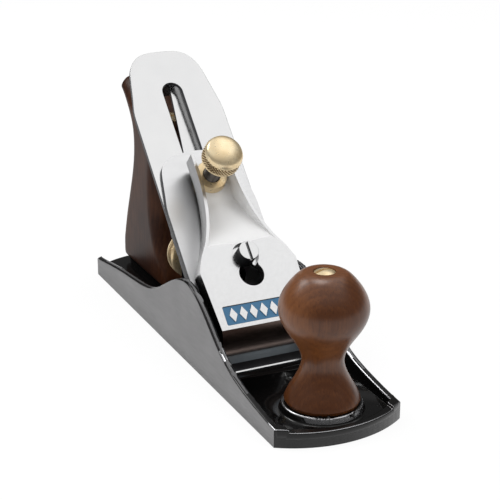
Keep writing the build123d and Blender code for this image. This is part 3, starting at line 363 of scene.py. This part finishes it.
GROUND_IRON = worked_metal(
    "ground_cheek_iron", (0.235, 0.232, 0.235), (0.205, 0.203, 0.206), (0.46, 0.60), GROUND, 45.0, 0.55
)
POLISHED_STEEL = worked_metal(
    "polished_iron_steel", (0.54, 0.54, 0.54), (0.52, 0.52, 0.523), (0.16, 0.22), DRAWN
)
CAP_STEEL = worked_metal(
    "polished_cap_steel", (0.63, 0.63, 0.635), (0.60, 0.60, 0.605), (0.32, 0.40), DRAWN
)
PLATED = worked_metal(
    "plated_lever_cap", (0.545, 0.545, 0.548), (0.535, 0.535, 0.538), (0.18, 0.24), BUFFED
)
# Painted light: satin plating on the sunk scoop, made lighter than the rest so that the scoop shows no
# shading
SCOOP_PAINTED_LIGHT = worked_metal(
    "satin_scoop_painted_light", (0.84, 0.84, 0.84), (0.82, 0.82, 0.82), (0.40, 0.48), BUFFED, metallic=0.30
)
# Painted reflection and shade: dark brown plating on the lever cap's nose, for the wooden knob mirrored
# in it
NOSE_PAINTED_REFLECTION = worked_metal(
    "nose_painted_reflection", (0.19, 0.14, 0.12), (0.15, 0.11, 0.095), (0.28, 0.36), BUFFED
)
MACHINED = worked_metal(
    "machined_steel", (0.46, 0.46, 0.47), (0.38, 0.38, 0.39), (0.22, 0.34), TURNED
)
DARK_STEEL = worked_metal(
    "blackened_steel", (0.16, 0.145, 0.13), (0.09, 0.08, 0.075), (0.28, 0.40), TURNED
)
# Painted shade: near-black steel on the sides of the irons, lateral lever and screw, and on the cap
# iron's tip
SIDE_PAINTED_SHADE = worked_metal(
    "side_painted_shade_steel", (0.10, 0.10, 0.105), (0.06, 0.06, 0.065), (0.40, 0.50), TURNED
)
# Painted shade: darker blue-grey steel on the cap iron's front slope, under the lever cap's nose
SLOPE_PAINTED_SHADE = worked_metal(
    "slope_painted_shade_steel", (0.30, 0.34, 0.37), (0.24, 0.28, 0.31), (0.30, 0.40), TURNED, metallic=0.5
)
# Painted highlight: bright metal on narrow edge faces of the casting, bright under any lamp
PAINTED_HIGHLIGHT_EDGE = worked_metal(
    "edge_painted_highlight", (0.42, 0.42, 0.43), (0.30, 0.30, 0.31), (0.22, 0.32), TURNED
)
BRASS = worked_metal(
    "satin_brass", (0.86, 0.72, 0.48), (0.72, 0.54, 0.30), (0.26, 0.36), CAST, 120.0, 0.7
)
# Painted shade: dark brass deep in the knurls' grooves
BRASS_PAINTED_SHADE = worked_metal(
    "brass_groove_painted_shade", (0.22, 0.14, 0.06), (0.15, 0.09, 0.04), (0.40, 0.50), CAST
)
BLACK_ENAMEL = enamel(
    "black_enamel", (0.0045, 0.004, 0.004), (0.0025, 0.0025, 0.0025), (0.10, 0.18), 0.00003, 0.32
)
# Grey enamel on the cheek crests: partly rubbed enamel, partly a painted sheen along the crest
WORN_AND_SHEEN_ENAMEL = enamel(
    "rubbed_enamel_and_painted_sheen", (0.100, 0.100, 0.104), (0.060, 0.060, 0.062), (0.32, 0.44), 0.00004, 0.5
)
# Painted shade: near-black casting under the lever cap's face and down its keyhole walls
SHADE_CASTING = enamel(
    "painted_shade_casting", (0.012, 0.011, 0.010), (0.007, 0.007, 0.007), (0.50, 0.65), 0.00004, 0.3
)
BLUE_ENAMEL = enamel(
    "blue_panel_enamel", (0.060, 0.205, 0.37), (0.030, 0.135, 0.27), (0.25, 0.35), 0.00003, 0.4
)


# Meshes

def new_piece(name, mesh_data, body, materials, replaces=()):
    """Puts a mesh in the scene with its materials, parented to the empty of the body it rides, and hides
    the solids it replaces.
    """
    obj = bpy.data.objects.new(name, mesh_data)
    bpy.context.scene.collection.objects.link(obj)
    for material in materials:
        mesh_data.materials.append(material)
    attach(obj, body)
    if replaces:
        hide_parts(*replaces)
    return obj


def clean_copy(node):
    """The node's mesh as clean polygons, with seams welded and flat faces joined."""
    shape = bmesh.new()
    shape.from_mesh(frame["nodes"][node].data)
    bmesh.ops.remove_doubles(shape, verts=shape.verts, dist=2e-6)
    bmesh.ops.dissolve_limit(shape, angle_limit=radians(0.4), verts=shape.verts, edges=shape.edges)
    data = bpy.data.meshes.new(node + "_shape")
    shape.to_mesh(data)
    shape.free()
    for spare in ("custom_normal", "UVMap"):
        if spare in data.attributes:
            data.attributes.remove(data.attributes[spare])
    return data


def baked(obj):
    """The object's mesh with its modifiers applied."""
    graph = bpy.context.evaluated_depsgraph_get()
    return bpy.data.meshes.new_from_object(obj.evaluated_get(graph))


def softened(node, width, width_of=None):
    """A copy of a node with its sharp edges rounded, by one width or by each edge's own."""
    data = clean_copy(node)
    shape = bmesh.new()
    shape.from_mesh(data)
    weights = shape.edges.layers.float.new("bevel_weight_edge")
    for edge in shape.edges:
        if len(edge.link_faces) == 2 and edge.calc_face_angle(0.0) > SHARP_EDGE:
            middle = (edge.verts[0].co + edge.verts[1].co) / 2
            edge[weights] = width_of(middle) / width if width_of else 1.0
    shape.to_mesh(data)
    shape.free()
    obj = bpy.data.objects.new(node + "_work", data)
    bpy.context.scene.collection.objects.link(obj)
    data.shade_smooth()
    rounder = obj.modifiers.new("rounded_edges", "BEVEL")
    rounder.width = width
    rounder.segments = 3 if width_of else 2
    rounder.limit_method = "WEIGHT"
    rounder.use_clamp_overlap = width_of is None
    rounder.harden_normals = True
    evener = obj.modifiers.new("even_shading", "WEIGHTED_NORMAL")
    evener.keep_sharp = True
    evener.weight = 100
    data = baked(obj)
    bpy.data.objects.remove(obj)
    return data


def join_rings(shape, low, high):
    """Faces between two rings, either of which may be a single point."""
    count = max(len(low), len(high))
    for i in range(count):
        j = (i + 1) % count
        if len(low) == 1:
            shape.faces.new((low[0], high[i], high[j]))
        elif len(high) == 1:
            shape.faces.new((low[i], low[j], high[0]))
        else:
            shape.faces.new((low[i], low[j], high[j], high[i]))


def tip(height):
    """A ring of one point on the axis."""
    return [(0.0, 0.0, height)]


def skinned(name, rings, axis, base, sharp):
    """Solid through rings of (reach, turn, height) points about an axis line."""
    up = axis.normalized()
    side = up.orthogonal().normalized()
    front = up.cross(side)
    shape = bmesh.new()
    placed = []
    for ring in rings:
        corners = []
        for reach, turn, height in ring:
            outward = side * cos(turn) + front * sin(turn)
            corners.append(shape.verts.new(base + up * height + outward * reach))
        placed.append(corners)
    for low, high in zip(placed, placed[1:]):
        join_rings(shape, low, high)
    bmesh.ops.recalc_face_normals(shape, faces=shape.faces)
    data = bpy.data.meshes.new(name)
    shape.to_mesh(data)
    shape.free()
    data.shade_smooth()
    data.set_sharp_from_angle(angle=radians(sharp))
    return data


def lathe(name, outline, axis, base, sides):
    """Turned solid: outline of (radius, height) points about an axis line."""
    turns = [2 * pi * i / sides for i in range(sides)]
    rings = []
    for radius, height in outline:
        rings.append([(radius, turn, height) for turn in turns] if radius > TIP_RADIUS else tip(height))
    return skinned(name, rings, axis, base, 40)


def tent(value):
    """Triangle wave between 0 and 1."""
    return 1 - abs(2 * (value % 1.0) - 1)


def knurled(name, rows, axis, base, knurls, slope, depth):
    """Turned solid whose marked rows carry a crossed knurl, with painted shade, the second material,
    deep in its grooves.

    Each row is (radius, height, knurl share); slope is how many knurls one metre of height crosses.
    """
    steps = knurls * 6
    rings = []
    for radius, height, share in rows:
        if radius < TIP_RADIUS:
            rings.append(tip(height))
            continue
        ring = []
        for i in range(steps):
            across = knurls * i / steps
            rise = slope * height
            lift = min(tent(across + rise), tent(across - rise))
            ring.append((radius + depth * share * (lift - 1.0), 2 * pi * i / steps, height))
        rings.append(ring)
    data = skinned(name, rings, axis, base, 35)
    up = axis.normalized()
    for face in data.polygons:
        place = face.center - base
        height = place.dot(up)
        near = [radius for radius, level, share in rows if share and abs(level - height) < HAIR]
        whole = max(near, default=0.0)
        # Faces deep in a groove take the painted shade
        face.material_index = 1 if (place - up * height).length < whole - 0.55 * depth else 0
    return data


def threaded(name, axis, base, length, radius, pitch, depth):
    """Screw thread as one closed solid, its groove winding up the axis."""
    sides = 40
    count = int(length / pitch * 8)
    rings = [tip(0.0)]
    for k in range(count + 1):
        height = length * k / count
        ring = []
        for i in range(sides):
            lift = tent(height / pitch - i / sides)
            ring.append((radius - depth * (1 - lift), 2 * pi * i / sides, height))
        rings.append(ring)
    rings.append(tip(length))
    return skinned(name, rings, axis, base, 50)


# Pieces of the plane

def sole_edge_width(place):
    """How far an edge of the casting is rounded: the cheeks most, then the rib, then the lip."""
    if abs(place.y) > INNER_HALF - 0.2 * MM and place.z > CHEEK_LOW:
        return CHEEK_EASE
    if abs(place.x - RIB_AT) < 2.2 * MM and place.z > 6.0 * MM:
        return RIB_EASE
    if place.x > TOE_LIP_FROM and place.z > 7.0 * MM:
        return LIP_EASE
    return 0.0


def on_painted_highlight_edge(place, knob_x):
    """Whether a place lies on an edge that gets a painted highlight: boss rim, rib, toe lip or the left
    cheek's inside.
    """
    from_knob = Vector((place.x - knob_x, place.y)).length
    boss = BOSS_REACH[0] < from_knob < BOSS_REACH[1] and place.z > BOSS_RIM_LOW
    rib = abs(place.x - RIB_AT) < 2.3 * MM and place.z > 5.5 * MM
    lip = place.x > TOE_LIP_FROM and place.z > 6.5 * MM
    inner = abs(place.y - INNER_HALF - 0.6 * MM) < 0.9 * MM and place.z > CHEEK_LOW
    return boss or rib or lip or inner


def dress_sole():
    """Casting: ground cheeks and sole, black enamel elsewhere, its crests rubbed grey under a painted
    sheen, and painted highlights on its edges.
    """
    data = softened("sole", CHEEK_EASE, sole_edge_width)
    outer_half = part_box("sole")[1][1]
    knob_low, knob_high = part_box("front_knob")
    knob_x = (knob_low[0] + knob_high[0]) / 2
    finishes = [BLACK_ENAMEL, GROUND_IRON, WORN_AND_SHEEN_ENAMEL, PAINTED_HIGHLIGHT_EDGE]
    sole = new_piece("sole_casting", data, "body", finishes, ["sole"])
    for face in data.polygons:
        place = face.center
        cheek = abs(face.normal.y) > 0.9 and abs(place.y) > outer_half - HAIR
        under = face.normal.z < -0.9 and place.z < HAIR
        middle = abs(abs(place.y) - (outer_half + INNER_HALF) / 2) < 0.5 * MM
        # Crest strip: rubbed enamel with a painted sheen
        crest = middle and abs(face.normal.y) < 0.2 and face.normal.z > 0.5 and place.z > CREST_LOW
        # Painted highlight on the slanted faces of the boss rim, rib, toe lip and left cheek's inside
        rubbed = 0.3 < face.normal.z < 0.93 and on_painted_highlight_edge(place, knob_x)
        face.material_index = 1 if cheek or under else 2 if crest else 3 if rubbed else 0
    return sole


def dress_knob():
    """Front knob, turned afresh through the rings of its solid so that it is smooth all round."""
    low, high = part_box("front_knob")
    base = Vector(((low[0] + high[0]) / 2, (low[1] + high[1]) / 2, 0))
    rings = {}
    for vertex in frame["nodes"]["front_knob"].data.vertices:
        place = vertex.co - base
        reach = Vector((place.x, place.y)).length
        rings.setdefault(round(place.z / (0.2 * MM)), []).append((reach, place.z))
    profile = [max(ring) for height, ring in sorted(rings.items())]
    bore = 5.1 * MM
    bore_floor = high[2] - 5.0 * MM
    outer = [(reach, height) for reach, height in profile if reach > bore + 0.1 * MM]
    inside = [(bore, high[2] - 0.1 * MM), (bore, bore_floor), (0.0, bore_floor)]
    outline = [(0.0, low[2]), *outer, *inside]
    data = lathe("front_knob_turned", outline, Vector((0, 0, 1)), base, 128)
    return new_piece("front_knob_turned", data, "body", [WOOD_KNOB], ["front_knob"])


def round_half(half, radius, depth):
    """Half width, at a depth in from the outline, of a slab whose edges are rounded by a radius."""
    left = radius - min(depth, radius)
    return half - radius + sqrt(radius ** 2 - left ** 2)


def ease(value, start, end):
    """Smooth step from 0 at start to 1 at end."""
    share = min(1.0, max(0.0, (value - start) / (end - start)))
    return share * share * (3 - 2 * share)


def dress_tote():
    """Rear handle, its grip rubbed rounder than the solid, except by its foot and its nut."""
    solid = clean_copy("tote")
    low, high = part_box("tote")
    nut_low, nut_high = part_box("tote_nut")
    nut = Vector(((nut_low[0] + nut_high[0]) / 2, 0, (nut_low[2] + nut_high[2]) / 2))
    rim = high[1] - TOTE_ROUND
    marks = []
    packed = frame["nodes"]["tote"].data
    for edge in packed.edges:
        first, last = (packed.vertices[i].co for i in edge.vertices)
        if max(abs(first.y - rim), abs(last.y - rim)) < 0.05 * MM:
            count = int((last - first).length / (0.5 * MM)) + 1
            marks += [first.lerp(last, k / count) for k in range(count + 1)]
    outline = KDTree(len(marks))
    for i, mark in enumerate(marks):
        outline.insert((mark.x, 0, mark.z), i)
    outline.balance()
    obj = bpy.data.objects.new("tote_work", solid)
    bpy.context.scene.collection.objects.link(obj)
    grid = obj.modifiers.new("even_grid", "REMESH")
    grid.mode = "VOXEL"
    grid.voxel_size = 1.1 * MM
    rub = obj.modifiers.new("rubbed_round", "SMOOTH")
    rub.factor = 0.5
    rub.iterations = 14
    data = baked(obj)
    bpy.data.objects.remove(obj)
    for vertex in data.vertices:
        place = Vector((vertex.co.x, 0, vertex.co.z))
        depth = outline.find(place)[2]
        off_foot = ease(place.z, low[2] + 4 * MM, low[2] + 40 * MM)
        off_nut = ease((place - nut).length, 8 * MM, 18 * MM)
        radius = TOTE_ROUND + (GRIP_ROUND - TOTE_ROUND) * off_foot * off_nut
        vertex.co.y *= round_half(high[1], radius, depth) / round_half(high[1], TOTE_ROUND, depth)
    data.shade_smooth()
    new_piece("tote_handle", data, "body", [WOOD_TOTE], ["tote"])


def dress_thumb_screw():
    """Domed brass head with a crossed knurl round its skirt, on a threaded stud."""
    spin = joint("thumb_screw_spin")
    axis = BED_OUT
    along = Vector(spin["pos_m"]) - Vector((EDGE_X, 0, 0))
    foot = Vector((EDGE_X, 0, 0)) + BED_UP * along.dot(BED_UP)
    radius = THUMB_HEAD_RADIUS
    low = THUMB_HEAD_LOW
    rows = [(0.0, low, 0.0), (7.6 * MM, low, 0.0), (8.8 * MM, low + 0.25 * MM, 0.0)]
    steps = 40
    skirt_low = 0.7 * MM
    for k in range(steps + 1):
        share = min(1.0, 4.0 * min(k, steps - k) / steps)
        height = low + skirt_low + (THUMB_SKIRT - skirt_low) * k / steps
        rows.append((radius - 0.6 * MM * abs(2 * k / steps - 1) ** 6, height, share))
    dome_steps = 18
    dome_radius = radius - 0.7 * MM
    dome_tall = THUMB_HEAD_TALL - THUMB_SKIRT
    for k in range(1, dome_steps + 1):
        turn = radians(90 * k / dome_steps)
        rows.append((dome_radius * cos(turn), low + THUMB_SKIRT + dome_tall * sin(turn), 0.0))
    rows[-1] = (0.0, low + THUMB_HEAD_TALL, 0.0)
    slope = THUMB_KNURLS / (2 * pi * radius) * 0.9
    data = knurled("thumb_head", rows, axis, foot, THUMB_KNURLS, slope, 0.85 * MM)
    finishes = [BRASS, BRASS_PAINTED_SHADE]
    new_piece("thumb_head", data, "thumb_knob_body", finishes, ["thumb_screw_knob"])
    stud_foot = foot + axis * 2.26 * MM
    stud_long = 30.6 * MM
    stud_radius = 4.5 * MM
    thread_depth = 0.62 * MM
    data = threaded(
        "thumb_stud_thread", axis, stud_foot, stud_long, stud_radius, THREAD_PITCH, thread_depth
    )
    finishes = [DARK_STEEL]
    new_piece("thumb_stud_thread", data, "thumb_stud_body", finishes, ["thumb_screw_stud"])


def dress_depth_wheel():
    """Brass adjusting wheel with a knurled rim and a grooved hub."""
    low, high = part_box("depth_wheel")
    base = Vector((low[0], 0, (low[2] + high[2]) / 2))
    length = high[0] - low[0]
    disc = 9.0 * MM
    bore = 3.55 * MM
    face = 10.5 * MM
    shoulder = 12.4 * MM
    bevel = 0.5 * MM
    hub = 7.8 * MM
    groove = 5.2 * MM
    groove_from = length - 5.6 * MM
    groove_to = length - 2.0 * MM
    steps = 36
    rows = [(bore, 0.0, 0.0), (face, 0.0, 0.0), (shoulder, bevel, 0.0)]
    for k in range(steps + 1):
        share = min(1.0, 4.0 * min(k, steps - k) / steps)
        reach = WHEEL_RADIUS - bevel * abs(2 * k / steps - 1) ** 6
        rows.append((reach, (0.9 + 7.2 * k / steps) * MM, share))
    rows += [(shoulder, disc - bevel, 0.0), (face, disc, 0.0), (hub, disc, 0.0)]
    rows += [(hub, groove_from, 0.0), (groove, groove_from, 0.0), (groove, groove_to, 0.0)]
    rows += [(hub, groove_to, 0.0), (hub, length, 0.0), (bore, length, 0.0), (bore, 0.0, 0.0)]
    slope = WHEEL_KNURLS / (2 * pi * WHEEL_RADIUS)
    data = knurled("depth_wheel_rim", rows, Vector((1, 0, 0)), base, WHEEL_KNURLS, slope, 0.5 * MM)
    shape = bmesh.new()
    shape.from_mesh(data)
    bmesh.ops.remove_doubles(shape, verts=shape.verts, dist=1e-6)
    shape.to_mesh(data)
    shape.free()
    finishes = [BRASS, BRASS_PAINTED_SHADE]
    new_piece("depth_wheel_rim", data, "depth_wheel_body", finishes, ["depth_wheel"])


def dress_panel():
    """Blue enamel laid in the lever cap's panel round a row of plain raised lozenges."""
    shape = bmesh.new()
    floor = CAP_FACE - PANEL_DEPTH
    top = floor + 0.3 * MM
    edge = 0.25 * MM
    side = PANEL_HALF - edge
    low = PANEL_LOW + edge
    high = PANEL_HIGH - edge
    corners = [(-side, low), (side, low), (side, high), (-side, high)]
    rings = [[shape.verts.new(bed_point(s, h, y)) for y, s in corners] for h in (floor + 0.02 * MM, top)]
    join_rings(shape, rings[0], rings[1])
    shape.faces.new(rings[1])
    shape.faces.new(list(reversed(rings[0])))
    bmesh.ops.recalc_face_normals(shape, faces=shape.faces)
    data = bpy.data.meshes.new("blue_panel")
    shape.to_mesh(data)
    shape.free()
    new_piece("blue_panel", data, "lever_cap_body", [BLUE_ENAMEL])


def dress_lever_cap():
    """Plated casting: satin scoop painted lighter, nose painted with the knob's reflection, painted
    shade under its face and down the keyhole.
    """
    data = softened("lever_cap", 0.5 * MM)
    finishes = [PLATED, SHADE_CASTING, SCOOP_PAINTED_LIGHT, NOSE_PAINTED_REFLECTION]
    new_piece("lever_cap_plated", data, "lever_cap_body", finishes, ["lever_cap"])
    for face in data.polygons:
        place = face.center - Vector((EDGE_X, 0, 0))
        along = place.dot(BED_UP)
        lift = face.normal.dot(BED_OUT)
        reach = Vector((face.center.y, along - KEYHOLE_AT)).length
        keyhole = abs(reach - KEYHOLE_RADIUS) < 0.5 * MM and abs(lift) < 0.3
        inward = face.normal.y * face.center.y < 0 and abs(face.normal.y) > 0.3
        sunk = along > SCOOP_FROM and place.dot(BED_OUT) < CAP_FACE - 0.1 * MM
        scoop = sunk and (lift > 0.3 or inward)
        nose = along < NOSE_TO and face.normal.dot(BED_UP) < -0.25
        # Index 1 paints shade, 2 paints the scoop lighter, 3 paints the knob's reflection on the nose
        face.material_index = 1 if keyhole or lift < -0.6 else 2 if scoop else 3 if nose else 0


def cut_across(data, along):
    """Splits a mesh's faces straight across the bed, at a place up it."""
    shape = bmesh.new()
    shape.from_mesh(data)
    parts = [*shape.verts, *shape.edges, *shape.faces]
    bmesh.ops.bisect_plane(shape, geom=parts, plane_co=bed_point(along, 0), plane_no=BED_UP)
    shape.to_mesh(data)
    shape.free()


def dress_irons():
    """Irons, lateral lever and lever-cap screw: bright faces, painted shade on their sides and the cap
    iron's tip, and blue-grey painted shade on the cap iron's front slope.
    """
    plan = [
        ("blade", 0.22, "iron_body", "polished_steel", POLISHED_STEEL),
        ("cap_iron", 0.25, "iron_body", "polished_steel", CAP_STEEL),
        ("lateral_lever", 0.4, "lateral_body", "steel", POLISHED_STEEL),
        ("lever_cap_screw", 0.3, "frog_body", "steel", POLISHED_STEEL),
    ]
    for node, width, body, slot, finish in plan:
        data = softened(node, width * MM)
        cut_across(data, SLOPE_FROM)
        new_piece(node + "_eased", data, body, [finish, SIDE_PAINTED_SHADE, SLOPE_PAINTED_SHADE], [node])
        for face in data.polygons:
            along = (face.center - Vector((EDGE_X, 0, 0))).dot(BED_UP)
            hump = node == "cap_iron" and along < SLOPE_TO
            slope = hump and along > SLOPE_FROM and face.normal.dot(BED_UP) < -0.12
            edge = hump and along < SLOPE_FROM or abs(face.normal.dot(BED_OUT)) < 0.5
            # Painted shade: index 2 on the cap iron's front slope, index 1 on the sides and the cap
            # iron's tip
            face.material_index = 2 if slope else 1 if edge else 0


def dress_softened():
    """Metal pieces that keep their solid's shape, with their edges eased."""
    plan = [
        ("lever_cap_bush", 0.3, "lever_cap_body", "brass", BRASS),
        ("cap_iron_screw", 0.3, "iron_carrier", "steel", MACHINED),
        ("frog", 0.6, "frog_body", "enamelled_iron", BLACK_ENAMEL),
        ("lateral_roller", 0.3, "lateral_body", "steel", MACHINED),
        ("knob_nut", 0.25, "body", "brass", BRASS),
        ("tote_nut", 0.25, "body", "brass", BRASS),
        ("frog_screws", 0.25, "body", "steel", MACHINED),
        ("frog_washers", 0.2, "body", "steel", MACHINED),
        ("frog_clip", 0.2, "frog_body", "steel", MACHINED),
        ("frog_clip_screw", 0.2, "frog_body", "steel", MACHINED),
        ("yoke", 0.4, "yoke_body", "yoke_iron", DARK_STEEL),
        ("depth_screw", 0.3, "depth_stud", "steel", MACHINED),
        ("frog_adjust_screw", 0.2, "frog_adjuster", "steel", MACHINED),
    ]
    for node, width, body, slot, material in plan:
        new_piece(node + "_eased", softened(node, width * MM), body, [material], [node])


def dress_plain():
    """Pins and bolts that hardly show: the solids stay, with the machined finish."""
    for node in ("knob_bolt", "tote_bolt", "yoke_pin", "lateral_pin"):
        slots = frame["nodes"][node].material_slots
        for slot in slots:
            slot.material = MACHINED


# Stage

def background_share(tree):
    """One where a ray comes from the camera, a mirror or glass."""
    path = add_node(tree, "ShaderNodeLightPath")
    first = add_node(tree, "ShaderNodeMath", {"operation": "MAXIMUM"})
    tree.links.new(path.outputs["Is Camera Ray"], first.inputs[0])
    tree.links.new(path.outputs["Is Glossy Ray"], first.inputs[1])
    second = add_node(tree, "ShaderNodeMath", {"operation": "MAXIMUM"})
    tree.links.new(first.outputs[0], second.inputs[0])
    tree.links.new(path.outputs["Is Transmission Ray"], second.inputs[1])
    return second.outputs[0]


def build_stage():
    """White floor that keeps a faint shadow, and a white surround."""
    bpy.ops.mesh.primitive_plane_add(size=8.0, location=(0, 0, -0.0003))
    floor = bpy.context.object
    floor.name = "floor"
    material = bpy.data.materials.new("white_floor")
    material.use_nodes = True
    tree = material.node_tree
    tree.nodes.clear()
    leave = add_node(tree, "ShaderNodeOutputMaterial")
    matt = add_node(tree, "ShaderNodeBsdfDiffuse", None, {"Color": (0.92, 0.92, 0.92, 1)})
    glow = add_node(tree, "ShaderNodeEmission", None, {"Color": (1, 1, 1, 1), "Strength": 1.04})
    mix = add_node(tree, "ShaderNodeMixShader")
    share = add_node(tree, "ShaderNodeMath", {"operation": "MULTIPLY"}, {1: 0.86})
    tree.links.new(background_share(tree), share.inputs[0])
    tree.links.new(share.outputs[0], mix.inputs[0])
    tree.links.new(matt.outputs[0], mix.inputs[1])
    tree.links.new(glow.outputs[0], mix.inputs[2])
    tree.links.new(mix.outputs[0], leave.inputs["Surface"])
    floor.data.materials.append(material)
    world = bpy.data.worlds.new("studio_surround")
    bpy.context.scene.world = world
    world.use_nodes = True
    tree = world.node_tree
    link = tree.links.new
    path = add_node(tree, "ShaderNodeLightPath")
    place = add_node(tree, "ShaderNodeTexCoord")
    split = add_node(tree, "ShaderNodeSeparateXYZ")
    link(place.outputs["Generated"], split.inputs[0])
    mirror_level = add_node(
        tree,
        "ShaderNodeMapRange",
        {"interpolation_type": "SMOOTHSTEP"},
        {"From Min": 0.50, "From Max": 0.82, "To Min": 0.12, "To Max": 0.90},
    )
    link(split.outputs["Z"], mirror_level.inputs["Value"])
    unseen = add_node(tree, "ShaderNodeMix", {"data_type": "FLOAT"})
    unseen.inputs[2].default_value = 0.60
    link(path.outputs["Is Glossy Ray"], unseen.inputs[0])
    link(mirror_level.outputs["Result"], unseen.inputs[3])
    level = add_node(tree, "ShaderNodeMix", {"data_type": "FLOAT"})
    level.inputs[3].default_value = 1.0
    link(path.outputs["Is Camera Ray"], level.inputs[0])
    link(unseen.outputs[0], level.inputs[2])
    link(level.outputs[0], tree.nodes["Background"].inputs["Strength"])
    tree.nodes["Background"].inputs["Color"].default_value = (1, 1, 1, 1)


def add_softbox(name, place, aim, size, power, mirrored=True):
    """Flat area lamp aimed at a point, which mirrors may or may not show."""
    lamp = bpy.data.lights.new(name, "AREA")
    lamp.shape = "RECTANGLE"
    lamp.size = size[0]
    lamp.size_y = size[1]
    lamp.energy = power
    obj = bpy.data.objects.new(name, lamp)
    obj.location = place
    obj.rotation_euler = (Vector(aim) - Vector(place)).to_track_quat("-Z", "Y").to_euler()
    obj.visible_glossy = mirrored
    bpy.context.scene.collection.objects.link(obj)
    return obj


def build_lights(top_lit):
    """Three softboxes that mirrors show, the top one on some pieces only, and two fills."""
    add_softbox("overhead_softbox", (0.08, 0.51, 1.16), (0, 0, 0.05), (1.24, 0.84), 2.1)
    add_softbox("rear_softbox", (-0.61, -0.60, 0.91), (0, 0, 0.05), (0.45, 0.45), 4.0)
    top = add_softbox("top_softbox", (-0.15, -0.05, 1.2), (0, 0, 0.05), (0.5, 0.5), 5.6)
    top.light_linking.receiver_collection = bpy.data.collections.new("top_softbox_pieces")
    for piece in top_lit:
        top.light_linking.receiver_collection.objects.link(piece)
    add_softbox("front_fill", (0.95, 0.75, 0.75), (0, 0, 0.05), (0.7, 0.7), 4.0, False)
    add_softbox("side_fill", (0.1, -1.2, 0.6), (0, 0, 0.05), (0.9, 0.9), 4.0, False)


def build_camera():
    """Camera at the fitted view."""
    turn = radians(CAMERA_AZIMUTH)
    rise = radians(CAMERA_ELEVATION)
    back = Vector((sin(turn) * cos(rise), -cos(turn) * cos(rise), sin(rise)))
    lens = bpy.data.cameras.new("camera")
    lens.lens = CAMERA_LENS
    lens.sensor_width = SENSOR_WIDTH
    lens.clip_start = 0.01
    obj = bpy.data.objects.new("camera", lens)
    obj.location = CAMERA_TARGET + back * CAMERA_DISTANCE
    obj.rotation_euler = back.to_track_quat("Z", "Y").to_euler()
    bpy.context.scene.collection.objects.link(obj)
    bpy.context.scene.camera = obj


casting = dress_sole()
knob = dress_knob()
dress_tote()
dress_thumb_screw()
dress_depth_wheel()
dress_panel()
dress_lever_cap()
dress_irons()
dress_softened()
dress_plain()
build_stage()
build_lights([casting, knob])
build_camera()
bpy.context.scene.view_settings.view_transform = "Standard"
